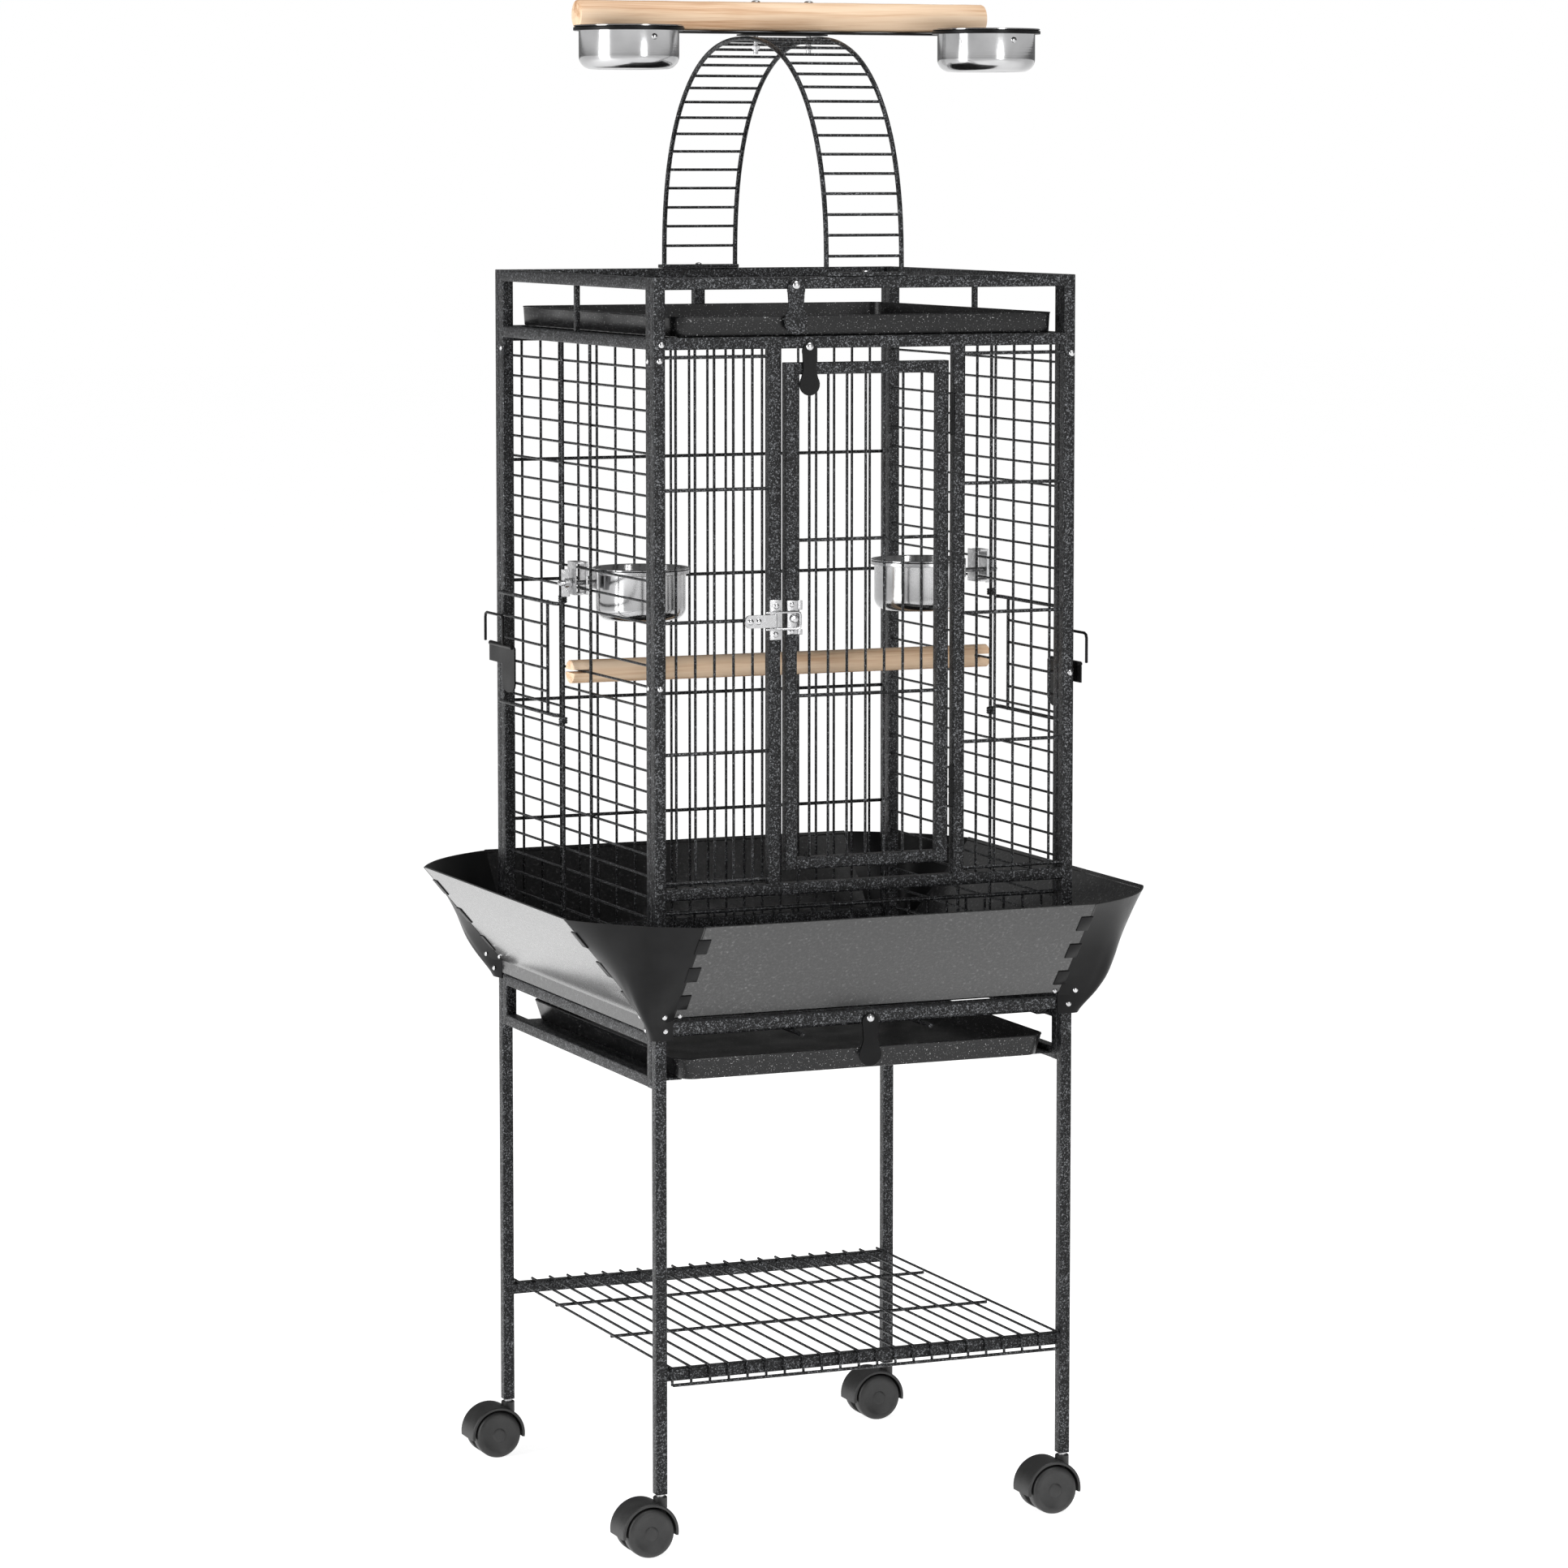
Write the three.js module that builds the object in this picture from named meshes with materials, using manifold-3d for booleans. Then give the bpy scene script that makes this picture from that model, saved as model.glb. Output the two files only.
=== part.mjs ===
// Play-top bird cage on a four-caster stand.
// Millimetres, +X right, +Y rear, +Z up, origin on the floor under the middle of the cage.
import * as THREE from 'three';
import Module from 'manifold-3d';
import { mergeVertices } from 'three/addons/utils/BufferGeometryUtils.js';

const wasm = await Module();
wasm.setup();

// Frame
const TUBE = 12;
const OUT = 230;
const IN = OUT - TUBE;
const FIT = 0.3;
const LEG_BOTTOM = 60;
const LEG_TOP = 560;
const TOP = 1278;
const RAIL_STAND = 526;
const RAIL_CAGE = 660;
const RAIL_ROOF = 1207;
const RAIL_TRAY = 471;
const SHELF_BAR = 175;

// Wires
const WIRE = 2.8;
const CROSS = 3.6;
const PITCH_FRONT = 20.5;
const PITCH_REAR = 21.3;
const SIDE_PITCH = 21.12;
const SIDE_TOP = 1188.2;
const SIDE_WIRES = 31;
const SIDE_X = 222.5;
const POST_WIRE = 3.4;
const POST_WIRE_X = 225.8;
const POST_WIRE_Y = 40;

// Doorway and door
const JAMB_IN = 95;
const JAMB_OUT = 107.3;
const DOOR = { half: 89, z0: 685, z1: 1193 };
const HINGE_X = 92;
const HINGE_Y = -231;
const HINGES = [[741, 783], [1118, 1160]];

// Door lock
const LOCK_FACE = { y0: -236.6, y1: -234.2 };
const LEVER = { tip: -136, pivot: -103, pinY: -234.4, z0: 930, z1: 943 };
const LOOP = { root: -113, end: -74.6, low: 928, high: 945, bar: 2.4 };
const KEEPER = { x0: -88.6, x1: -72.5, z0: 922, z1: 956, knobX: -81.6, knobZ: 939, knobR: 4 };
const LOCK_PLATE = { x0: -107, x1: -94.6, z0: 917, z1: 957 };
const PLATE_FRONT = -231.8;

// Feeder doors
const FEEDER = { x: -232.3, bars: [936.5, 820.3], shorts: [913, 890, 867, 843.5], uprights: [71, 203.5] };
const EYE = { r: 4.6, bore: 2.95, height: 11, feet: [937, 809.6] };
const LATCH = { x0: -236.4, x1: -234.6, y0: 158, y1: 196, lap: 236, z0: 838, step: 862, z1: 882 };
const BAIL = { x: -238.4, y0: 187, y1: 242, z0: 882.6, z1: 914.4, wire: 3 };

// Trays, grate, shelf
const TRAY = { half: 204, slope: 7, y0: -229, y1: 205, z0: 478, z1: 500 };
const TOP_TRAY = { half: 209, slope: 2, y0: -227, y1: 215, z0: 1219.4, z1: 1240 };
const SHEET = 1.2;
const LEDGE = { y: 200, tray: [190, 474.8, 477.4], grate: [204, 516.2, 519.2] };

// Flap latches: plate size, height of its top over the screw, place of the screw
const FLAP_THICK = 2.4;
const FLAPS = {
  flap_top_tray: { width: 25.8, length: 54, head: 4.6, look: 'tube', x: -79.1, z: 1270.4 },
  flap_door: { width: 22, length: 52.5, head: 3.1, look: 'satin', x: -64.6, z: 1208 },
  flap_bottom_tray: { width: 24.6, length: 54.4, head: 4.3, look: 'satin', x: 2.5, z: 530.7 },
};
const GRATE_PITCH = 20.4;

// Skirt
const SKIRT = { foot: 232.4, top: 320, z0: 541, z1: 645.5, half: 213.6, sheet: 1.6 };
const KEEL = [[522, 233.6], [534, 241], [545, 248], [562, 256], [582, 261.4], [600, 265], [645.5, 276]];

// Casters
const STEM = 224;
const TRAIL = 17;
const WHEEL_R = 25;
const WHEEL_FACE = 21;

// Play top
const ARCH = { half: 219, foot: 1286, apex: 1518, power: 2.33, x: 41, wire: 5, pitch: 20.6 };
const PERCH = { r: 15, half: 227, y: -9, z: 1540.2 };
const TOP_CUP = { x: 198, y: -82, body: 50.5, rim: 55.5, z0: 1484, z1: 1528 };

// Inside
const CUP = { x: 157, y: -6, body: 46.5, rim: 50, z0: 922, z1: 976 };
const STUD_Z = 962;
const BEAM = { r: 12, half: 236, y: -6, z: 870.5 };

const looks = {
  tube: { color: 0x1d1e20, roughness: 0.45, metalness: 0.6 },
  satin: { color: 0x151516, roughness: 0.5, metalness: 0.4 },
  sheet: { color: 0x26272a, roughness: 0.4, metalness: 0.6 },
  steel: { color: 0xd8dadc, roughness: 0.15, metalness: 1 },
  zinc: { color: 0xb4b6b8, roughness: 0.35, metalness: 1 },
  wood: { color: 0xc99a6b, roughness: 0.7, metalness: 0 },
  plastic: { color: 0x101011, roughness: 0.5, metalness: 0 },
};

const group = new THREE.Group();
group.name = 'bird_cage_on_stand';

// ---------- solids ----------

// Merged corners, no collapsed triangles, faces turned outward.
function solid(geometry) {
  const bare = geometry.clone();
  bare.deleteAttribute('normal');
  bare.deleteAttribute('uv');
  const merged = mergeVertices(bare, 1e-4);
  const points = merged.attributes.position;
  const corner = (i) => new THREE.Vector3().fromBufferAttribute(points, i);
  const faces = [];
  let volume = 0;
  for (let i = 0; i < merged.index.count; i += 3) {
    const [a, b, c] = [0, 1, 2].map((k) => merged.index.getX(i + k));
    if (a !== b && b !== c && c !== a) {
      faces.push([a, b, c]);
      volume += corner(a).dot(corner(b).cross(corner(c)));
    }
  }
  const outward = volume > 0 ? faces : faces.map(([a, b, c]) => [a, c, b]);
  return new wasm.Manifold(new wasm.Mesh({
    numProp: 3,
    vertProperties: new Float32Array(points.array),
    triVerts: new Uint32Array(outward.flat()),
  }));
}

function join(...pieces) {
  return wasm.Manifold.union(pieces.flat());
}

function block(x0, x1, y0, y1, z0, z1) {
  const size = new THREE.BoxGeometry(Math.abs(x1 - x0), Math.abs(y1 - y0), Math.abs(z1 - z0));
  size.translate((x0 + x1) / 2, (y0 + y1) / 2, (z0 + z1) / 2);
  return solid(size);
}

function wireX(x0, x1, y, z, w = WIRE) {
  return block(x0, x1, y - w / 2, y + w / 2, z - w / 2, z + w / 2);
}

function wireY(x, y0, y1, z, w = WIRE) {
  return block(x - w / 2, x + w / 2, y0, y1, z - w / 2, z + w / 2);
}

function wireZ(x, y, z0, z1, w = WIRE) {
  return block(x - w / 2, x + w / 2, y - w / 2, y + w / 2, z0, z1);
}

function rod(axis, from, to, a, b, r, sides = 16) {
  const geometry = new THREE.CylinderGeometry(r, r, Math.abs(to - from), sides);
  const mid = (from + to) / 2;
  if (axis === 'x') {
    geometry.rotateZ(Math.PI / 2).translate(mid, a, b);
  }
  if (axis === 'y') {
    geometry.translate(a, mid, b);
  }
  if (axis === 'z') {
    geometry.rotateX(Math.PI / 2).translate(a, b, mid);
  }
  return solid(geometry);
}

function turned(profile, sides) {
  const points = profile.map(([r, z]) => new THREE.Vector2(r, z));
  return solid(new THREE.LatheGeometry(points, sides).rotateX(Math.PI / 2));
}

// A closed body through a stack of loops that all have the same number of points.
function loft(loops) {
  const n = loops[0].length;
  const last = (loops.length - 1) * n;
  const index = [];
  for (let k = 0; k + 1 < loops.length; k++) {
    for (let i = 0; i < n; i++) {
      const a = k * n + i;
      const b = k * n + ((i + 1) % n);
      index.push(a, b, b + n, a, b + n, a + n);
    }
  }
  const flat = loops[0].map(([x, y]) => new THREE.Vector2(x, y));
  for (const [a, b, c] of THREE.ShapeUtils.triangulateShape(flat, [])) {
    index.push(a, c, b);
  }
  const cap = loops[loops.length - 1].map(([x, y]) => new THREE.Vector2(x, y));
  for (const [a, b, c] of THREE.ShapeUtils.triangulateShape(cap, [])) {
    index.push(last + a, last + b, last + c);
  }
  const geometry = new THREE.BufferGeometry();
  geometry.setAttribute('position', new THREE.Float32BufferAttribute(loops.flat(2), 3));
  geometry.setIndex(index);
  return solid(geometry);
}

function roundedLoop(halfX, y0, y1, z, r) {
  const corners = [[halfX - r, y0 + r, -90], [halfX - r, y1 - r, 0], [r - halfX, y1 - r, 90],
    [r - halfX, y0 + r, 180]];
  return corners.flatMap(([x, y, start]) => [0, 30, 60, 90].map((turn) => {
    const angle = THREE.MathUtils.degToRad(start + turn);
    return [x + r * Math.cos(angle), y + r * Math.sin(angle), z];
  }));
}

function place(name, body, look, at = [0, 0, 0], turn = 0) {
  const data = body.getMesh();
  const geometry = new THREE.BufferGeometry();
  geometry.setAttribute('position', new THREE.Float32BufferAttribute(data.vertProperties, 3));
  geometry.setIndex(new THREE.Uint32BufferAttribute(data.triVerts, 1));
  const flat = geometry.toNonIndexed();
  flat.computeVertexNormals();
  const mesh = new THREE.Mesh(flat, new THREE.MeshStandardMaterial(looks[look]));
  mesh.name = name;
  mesh.position.set(...at);
  mesh.rotation.z = turn;
  group.add(mesh);
}

// ---------- stand ----------

function standFrame() {
  const parts = [block(-IN - 1, IN + 1, -OUT, -IN, RAIL_STAND, RAIL_STAND + TUBE),
    block(-IN - 1, IN + 1, -OUT, -IN, SHELF_BAR, SHELF_BAR + TUBE)];
  for (const s of [-1, 1]) {
    const leg = block(s * IN, s * OUT, -OUT, -IN, LEG_BOTTOM, LEG_TOP);
    parts.push(leg.subtract(rod('z', LEG_BOTTOM - 1, LEG_BOTTOM + 31, s * STEM, -STEM, 4.5, 24)));
  }
  return join(parts);
}

function wireShelf() {
  const top = SHELF_BAR + TUBE + 1.8;
  const half = 10.5 * GRATE_PITCH;
  const parts = [101.5, -60.5].map((y) => wireX(-half, half, y, top - 2.9, 3.4));
  parts.push(wireX(-half, half, -233, 171.8, 3.4));
  for (let k = 0; k < 22; k++) {
    const x = (k - 10.5) * GRATE_PITCH;
    parts.push(wireY(x, -234.4, 229, top));
    parts.push(wireZ(x, -233, 171, top));
  }
  return join(parts);
}

function casterFork() {
  const ax = -TRAIL;
  const outer = rod('y', -19, 19, ax, WHEEL_R, 30, 28);
  const bore = rod('y', -20, 20, ax, WHEEL_R, 27, 28);
  const web = rod('y', -4, 4, ax, WHEEL_R, 28.5, 28);
  const below = block(ax - 40, ax + 40, -30, 30, -10, WHEEL_R - 3);
  const hub = rod('y', -6, 6, ax, WHEEL_R, 5.6, 16);
  const hood = outer.subtract(bore).add(web).subtract(hub).subtract(below);
  const collar = rod('z', 45, 57.5, 0, 0, 7.2, 16).subtract(rod('y', -20, 20, ax, WHEEL_R, 27, 28));
  return join(hood, collar, rod('z', 55, LEG_BOTTOM + 29, 0, 0, 4, 16));
}

function casterWheels() {
  const half = [[0, 21], [18, WHEEL_FACE], [WHEEL_R, 17], [WHEEL_R, 6.5], [5, 5]];
  const mirrored = half.map(([r, y]) => [r, -y]).reverse();
  const profile = [...half, ...mirrored].map(([r, y]) => new THREE.Vector2(r, y));
  return solid(new THREE.LatheGeometry(profile, 24));
}

// ---------- cage panels ----------

function sideWires() {
  const parts = [];
  for (let i = 0; i < SIDE_WIRES; i++) {
    const z = SIDE_TOP - i * SIDE_PITCH;
    const cut = i >= 12 && i <= 16;
    parts.push(wireY(-SIDE_X, -207, cut ? POST_WIRE_Y + 1.4 : 207, z, 2.6));
    if (cut) {
      parts.push(block(-POST_WIRE_X, -SIDE_X, POST_WIRE_Y - 1.4, POST_WIRE_Y + 1.4, z - 1.3, z + 1.3));
    }
  }
  for (const y of [-POST_WIRE_Y, POST_WIRE_Y]) {
    parts.push(wireZ(-POST_WIRE_X, y, RAIL_STAND + TUBE - 1, RAIL_ROOF + 1, POST_WIRE));
  }
  return parts;
}

function sidePanel() {
  const rail = (z0, z1) => block(-OUT, -IN, -207, 207, z0, z1);
  const stile = (s) => block(-OUT, -IN, s * 206, s * (IN - FIT), RAIL_TRAY, TOP);
  const ledge = ([inner, z0, z1]) => block(-IN - 1, -inner, -LEDGE.y, LEDGE.y, z0, z1);
  return join(
    stile(-1),
    stile(1),
    rail(RAIL_TRAY, RAIL_TRAY + TUBE),
    rail(RAIL_STAND - TUBE, RAIL_STAND + TUBE),
    rail(RAIL_ROOF, RAIL_ROOF + TUBE),
    rail(TOP - TUBE, TOP),
    wireZ(-224, 0, RAIL_ROOF + TUBE - 1, TOP - TUBE + 1, 5.5),
    ledge(LEDGE.tray),
    ledge(LEDGE.grate),
    ...sideWires(),
  );
}

function railX(y0, y1, z) {
  return block(-IN - 1, IN + 1, y0, y1, z, z + TUBE);
}

function frontPanel() {
  const parts = [RAIL_CAGE, RAIL_ROOF, TOP - TUBE].map((z) => railX(-OUT, -IN, z));
  for (const s of [-1, 1]) {
    parts.push(block(s * IN, s * OUT, -OUT, -IN, LEG_TOP + FIT, TOP));
    parts.push(block(s * JAMB_IN, s * JAMB_OUT, -OUT, -IN, RAIL_CAGE + 1, RAIL_ROOF + 1));
    for (let k = 6; k <= 10; k++) {
      parts.push(wireZ(s * k * PITCH_FRONT, -224, RAIL_CAGE + TUBE - 1, RAIL_ROOF + 1));
    }
    for (const z of [1199.6, 1068.4, 937.2, 806, 677]) {
      parts.push(wireX(s * (JAMB_OUT - 1), s * (IN + 1), -227.6, z, CROSS));
    }
  }
  return join(parts);
}

function rearPanel() {
  const parts = [LEG_TOP + FIT, RAIL_ROOF, TOP - TUBE].map((z) => railX(IN, OUT, z));
  for (const s of [-1, 1]) {
    parts.push(block(s * IN, s * OUT, IN, OUT, LEG_TOP + FIT, TOP));
  }
  for (let k = 0; k < 20; k++) {
    parts.push(wireZ((k - 9.5) * PITCH_REAR, 224, LEG_TOP + TUBE, RAIL_ROOF + 1));
  }
  for (const z of [1204, 1076, 947.4, 818.7, 691]) {
    parts.push(wireX(-IN - 1, IN + 1, 227.6, z, CROSS));
  }
  parts.push(block(-6, 6, IN, OUT, RAIL_ROOF + TUBE - 1, TOP - TUBE + 1));
  return join(parts);
}

function frontFence() {
  const parts = [wireX(-217.2, 217.2, -213, 645.5, 4.4), wireX(-217.2, 217.2, -213, 543, 3)];
  for (let k = 0; k < 20; k++) {
    parts.push(wireZ((k - 9.5) * PITCH_REAR, -213, 542, 645));
  }
  return join(parts);
}

function roofGrille() {
  const parts = [-214, 214].map((x) => wireY(x, -217.4, 217.4, 1213.2, 3.6));
  for (let k = 0; k < 21; k++) {
    parts.push(wireX(-215.8, 215.8, (k - 10) * GRATE_PITCH, 1216.1));
  }
  return join(parts);
}

function floorGrate() {
  const parts = [-71, 71].map((x) => wireY(x, -230, 206, 517.4, 5));
  for (let k = 0; k < 21; k++) {
    parts.push(wireX(-213, 213, (k - 10) * GRATE_PITCH, 521.1));
  }
  return join(parts);
}

// ---------- trays ----------

function tray({ half, slope, y0, y1, z0, z1 }) {
  const wall = (inset, low, high) => loft([
    roundedLoop(half - slope - inset, y0 + slope + inset, y1 - slope - inset, low, 14),
    roundedLoop(half - inset, y0 + inset, y1 - inset, high, 14),
  ]);
  return wall(0, z0, z1).subtract(wall(SHEET, z0 + SHEET, z1 + 0.1));
}

// Two-lobed plate hanging from its screw, flat against the front face of a rail.
function flap({ width, length, head }) {
  const r = width / 2;
  const waist = r * 0.82;
  const low = head - length + r;
  const shape = new THREE.Shape();
  shape.absarc(0, head - r, r, THREE.MathUtils.degToRad(-20), THREE.MathUtils.degToRad(200));
  shape.lineTo(-waist, (head - r + low) / 2);
  shape.absarc(0, low, r, THREE.MathUtils.degToRad(160), THREE.MathUtils.degToRad(380));
  shape.lineTo(waist, (head - r + low) / 2);
  const options = { depth: FLAP_THICK, bevelEnabled: false, curveSegments: 7 };
  return solid(new THREE.ExtrudeGeometry(shape, options).rotateX(Math.PI / 2));
}

// ---------- doors and lock ----------

function frontDoor() {
  const { half, z0, z1 } = DOOR;
  const parts = [z0, z1 - TUBE].map((z) => block(-half, half, -OUT, -IN, z, z + TUBE));
  for (const s of [-1, 1]) {
    parts.push(block(s * (half - TUBE), s * half, -OUT, -IN, z0, z1));
  }
  for (let k = -3; k <= 3; k++) {
    parts.push(wireZ(k * PITCH_FRONT, -224, z0 + TUBE - 1, z1 - TUBE + 1));
  }
  for (const z of [1015.8, 859.9]) {
    parts.push(wireX(TUBE - half - 1, half - TUBE + 1, -227.6, z, CROSS));
  }
  return join(parts);
}

function lockLever() {
  const strap = block(LEVER.tip, LEVER.pivot, LOCK_FACE.y0, LOCK_FACE.y1, LEVER.z0, LEVER.z1);
  return join(strap, rod('z', LEVER.z0, LEVER.z1, LEVER.pivot, LEVER.pinY, 2.4, 12));
}

function lockBail() {
  const half = LOOP.bar / 2;
  const bar = (x, z0, z1) => block(x, LOOP.end, LOCK_FACE.y0, LOCK_FACE.y1, z0 - half, z1 + half);
  return join(
    bar(LOOP.root, LOOP.low, LOOP.low),
    bar(LOOP.root, LOOP.high, LOOP.high),
    bar(LOOP.end - LOOP.bar, LOOP.low, LOOP.high),
  );
}

function lockKeeper() {
  const plate = block(KEEPER.x0, KEEPER.x1, PLATE_FRONT, -OUT - FIT, KEEPER.z0, KEEPER.z1);
  return join(plate, rod('y', -236.2, -231, KEEPER.knobX, KEEPER.knobZ, KEEPER.knobR, 16));
}

// Hook end closed round the upright wire of the side panel.
function feederEye(z0) {
  const z1 = z0 + EYE.height;
  return rod('z', z0, z1, -POST_WIRE_X, POST_WIRE_Y, EYE.r, 16)
    .add(block(FEEDER.x - 2, -POST_WIRE_X, POST_WIRE_Y, POST_WIRE_Y + 6, z0, z1))
    .subtract(rod('z', z0 - 1, z1 + 1, -POST_WIRE_X, POST_WIRE_Y, EYE.bore, 16));
}

function feederDoor() {
  const parts = EYE.feet.map(feederEye);
  for (const z of FEEDER.bars) {
    parts.push(wireY(FEEDER.x, POST_WIRE_Y + 0.5, 214, z, 4));
  }
  for (const y of FEEDER.uprights) {
    parts.push(wireZ(FEEDER.x, y, 820, 937, POST_WIRE));
  }
  for (const z of FEEDER.shorts) {
    parts.push(wireY(FEEDER.x, 66, 204, z));
  }
  return join(parts);
}

function feederLatch() {
  const { x0, x1, y0, y1, lap, z0, step, z1 } = LATCH;
  const roll = rod('y', y0 + 6, y1 - 6, -235.5, z0, 3, 12);
  return join(
    block(x0, x1, y0, y1, z0, z1),
    block(x0, x1, y1 - 1, lap, step, z1),
    roll.subtract(block(x1, x1 + 5, y0 - 8, y1, z0 - 8, z0 + 12)),
  );
}

function feederBail() {
  const { x, y0, y1, z0, z1, wire } = BAIL;
  return join(
    wireZ(x, y0, z0, z1, wire),
    wireZ(x, y1, z0, z1, wire),
    wireY(x, y0, y1, z1 - wire / 2, wire),
  );
}

// ---------- skirt ----------

function skirtPanel(lowZ) {
  const lean = (SKIRT.top - SKIRT.foot) / (SKIRT.z1 - SKIRT.z0);
  const kneeZ = Math.max(lowZ, SKIRT.z0);
  const knee = SKIRT.foot + lean * (kneeZ - SKIRT.z0);
  const face = lowZ < kneeZ ? [[SKIRT.foot, lowZ], [knee, kneeZ]] : [[knee, kneeZ]];
  const outline = [...face, [SKIRT.top, SKIRT.z1]];
  const back = outline.map(([y, z]) => [y - SHEET, z]).reverse();
  const shape = new THREE.Shape([...outline, ...back].map(([y, z]) => new THREE.Vector2(y, z)));
  const sheet = new THREE.ExtrudeGeometry(shape, { depth: 2 * SKIRT.half, bevelEnabled: false });
  sheet.rotateX(Math.PI / 2).rotateZ(Math.PI / 2).translate(-SKIRT.half, 0, 0);
  return solid(sheet);
}

// Bulged corner sheet: each level bends from one panel end over the keel to the other panel end.
function skirtCorner() {
  const { foot, top, z0, z1, half, sheet } = SKIRT;
  const near = half + 0.4;
  const steps = 8;
  const loops = KEEL.map(([z, keel]) => {
    const far = foot + (top - foot) * Math.max(z - z0, 0) / (z1 - z0);
    const path = (inset) => {
      const pull = 2 * (keel - inset) - (near + far - inset) / 2;
      return Array.from({ length: steps + 1 }, (_, i) => {
        const t = i / steps;
        const [a, b, c] = [(1 - t) ** 2, 2 * t * (1 - t), t ** 2];
        return [a * (far - inset) + b * pull + c * near, -(a * near + b * pull + c * (far - inset)), z];
      });
    };
    return [...path(sheet), ...path(0).reverse()];
  });
  return loft(loops);
}

// ---------- play top ----------

function archPoint(t) {
  const y = ARCH.half * Math.sign(Math.cos(t)) * Math.abs(Math.cos(t)) ** (2 / ARCH.power);
  const z = ARCH.foot + (ARCH.apex - ARCH.foot) * Math.abs(Math.sin(t)) ** (2 / ARCH.power);
  return new THREE.Vector2(y, z);
}

// Points of the arch at equal steps along its length.
function rungPoints() {
  const fine = Array.from({ length: 1201 }, (_, i) => archPoint((Math.PI * i) / 1200));
  const points = [];
  let run = 0;
  let next = 16;
  for (let i = 1; i < fine.length; i++) {
    run += fine[i].distanceTo(fine[i - 1]);
    if (run >= next && (fine[i].x > 0 || fine[i].y > ARCH.foot + 10)) {
      points.push(fine[i]);
      next += ARCH.pitch;
    }
  }
  return points;
}

function archRail(x) {
  const steps = 30;
  const mid = Array.from({ length: steps + 1 }, (_, i) => archPoint((Math.PI * i) / steps));
  const edge = (offset) => mid.map((p, i) => {
    const ahead = mid[Math.min(i + 1, steps)];
    const behind = mid[Math.max(i - 1, 0)];
    const along = ahead.clone().sub(behind).normalize();
    return new THREE.Vector2(p.x + along.y * offset, p.y - along.x * offset);
  });
  const band = new THREE.Shape([...edge(ARCH.wire / 2), ...edge(-ARCH.wire / 2).reverse()]);
  const rail = new THREE.ExtrudeGeometry(band, { depth: ARCH.wire, bevelEnabled: false });
  rail.rotateX(Math.PI / 2).rotateZ(Math.PI / 2).translate(x - ARCH.wire / 2, 0, 0);
  return solid(rail);
}

function ladderArch() {
  const parts = [archRail(-ARCH.x), archRail(ARCH.x)];
  parts.push(...rungPoints().map((p) => wireX(-ARCH.x, ARCH.x, p.x, p.y, 3)));
  for (const s of [-1, 1]) {
    parts.push(block(-44, 44, s * 215, s * OUT, TOP + FIT, TOP + 4));
    for (const x of [-ARCH.x, ARCH.x]) {
      parts.push(block(x - 2.5, x + 2.5, s * 216.5, s * 221.5, TOP + 2, ARCH.foot + 1));
    }
  }
  return join(parts);
}

function perchPlate() {
  const y = PERCH.y;
  return block(-46, 46, y - 12, y + 12, 1520.8, 1522.3);
}

function cupBar() {
  const low = 1522.6;
  const high = 1524.9;
  const ring = (x) => rod('z', low, high + 1.1, x, TOP_CUP.y, 56, 32)
    .subtract(rod('z', low - 1, high + 2.1, x, TOP_CUP.y, 51.6, 32));
  const arm = (x) => block(x - 9, x + 9, -29, -10, low, high);
  const bar = block(-207, 207, PERCH.y - 9, PERCH.y + 9, low, high);
  return join(bar, [-TOP_CUP.x, TOP_CUP.x].flatMap((x) => [ring(x), arm(x)]));
}

function cup({ body, rim, z0, z1 }) {
  const h = z1 - z0;
  const wall = 1.3;
  const outside = [[0, 0], [body - 12, 0], [body - 3, 4.5], [body, 13], [body, h - 1.8], [rim, h - 1.8]];
  const inside = [[body - wall, h], [body - wall, 13.5], [body - 4, 5.5], [body - 12.5, wall], [0, wall]];
  return turned([...outside, [rim, h], ...inside], 24);
}

// ---------- inside ----------

function cupHolder() {
  const ring = rod('z', -6.2, -2.2, 0, 0, 50, 32).subtract(rod('z', -7, -1, 0, 0, 47.2, 32));
  const lug = block(48, 52, -8, 8, -21, -2.2);
  const stud = rod('x', 50, 248 - CUP.x, 0, STUD_Z - CUP.z1, 2.5, 12);
  const inner = block(219 - CUP.x, 220.8 - CUP.x, -10, 11, -26, 8);
  return join(ring, lug, stud, inner);
}

function cupClamp() {
  const face = 233.8 - CUP.x;
  const plate = block(face - 2, face, -10, 11, -26, 8);
  const lips = [[-26, -24], [6, 8]].map(([a, b]) => block(224.4 - CUP.x, face, -10, 11, a, b));
  return join(plate, lips).subtract(rod('x', face - 5, face + 5, 0, STUD_Z - CUP.z1, 2.9, 12));
}

function wingNut() {
  const x = 234.1 - CUP.x;
  const z = STUD_Z - CUP.z1;
  const wing = (s) => block(x + 1.5, x + 10, -1.2, 1.2, z + s * 3, z + s * 14);
  const hub = rod('x', x, x + 7, 0, z, 5, 12);
  return join(hub, wing(-1), wing(1)).subtract(rod('x', x - 1, x + 14, 0, z, 2.9, 12));
}

function innerPerch() {
  const slotZ = SIDE_TOP - 15 * SIDE_PITCH;
  const slot = (s) => block(s * 217, s * 240, -30, 30, slotZ - 1.8, slotZ + 1.8);
  return rod('x', -BEAM.half, BEAM.half, BEAM.y, BEAM.z, BEAM.r, 20).subtract(slot(-1)).subtract(slot(1));
}

// ---------- assembly ----------

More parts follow.
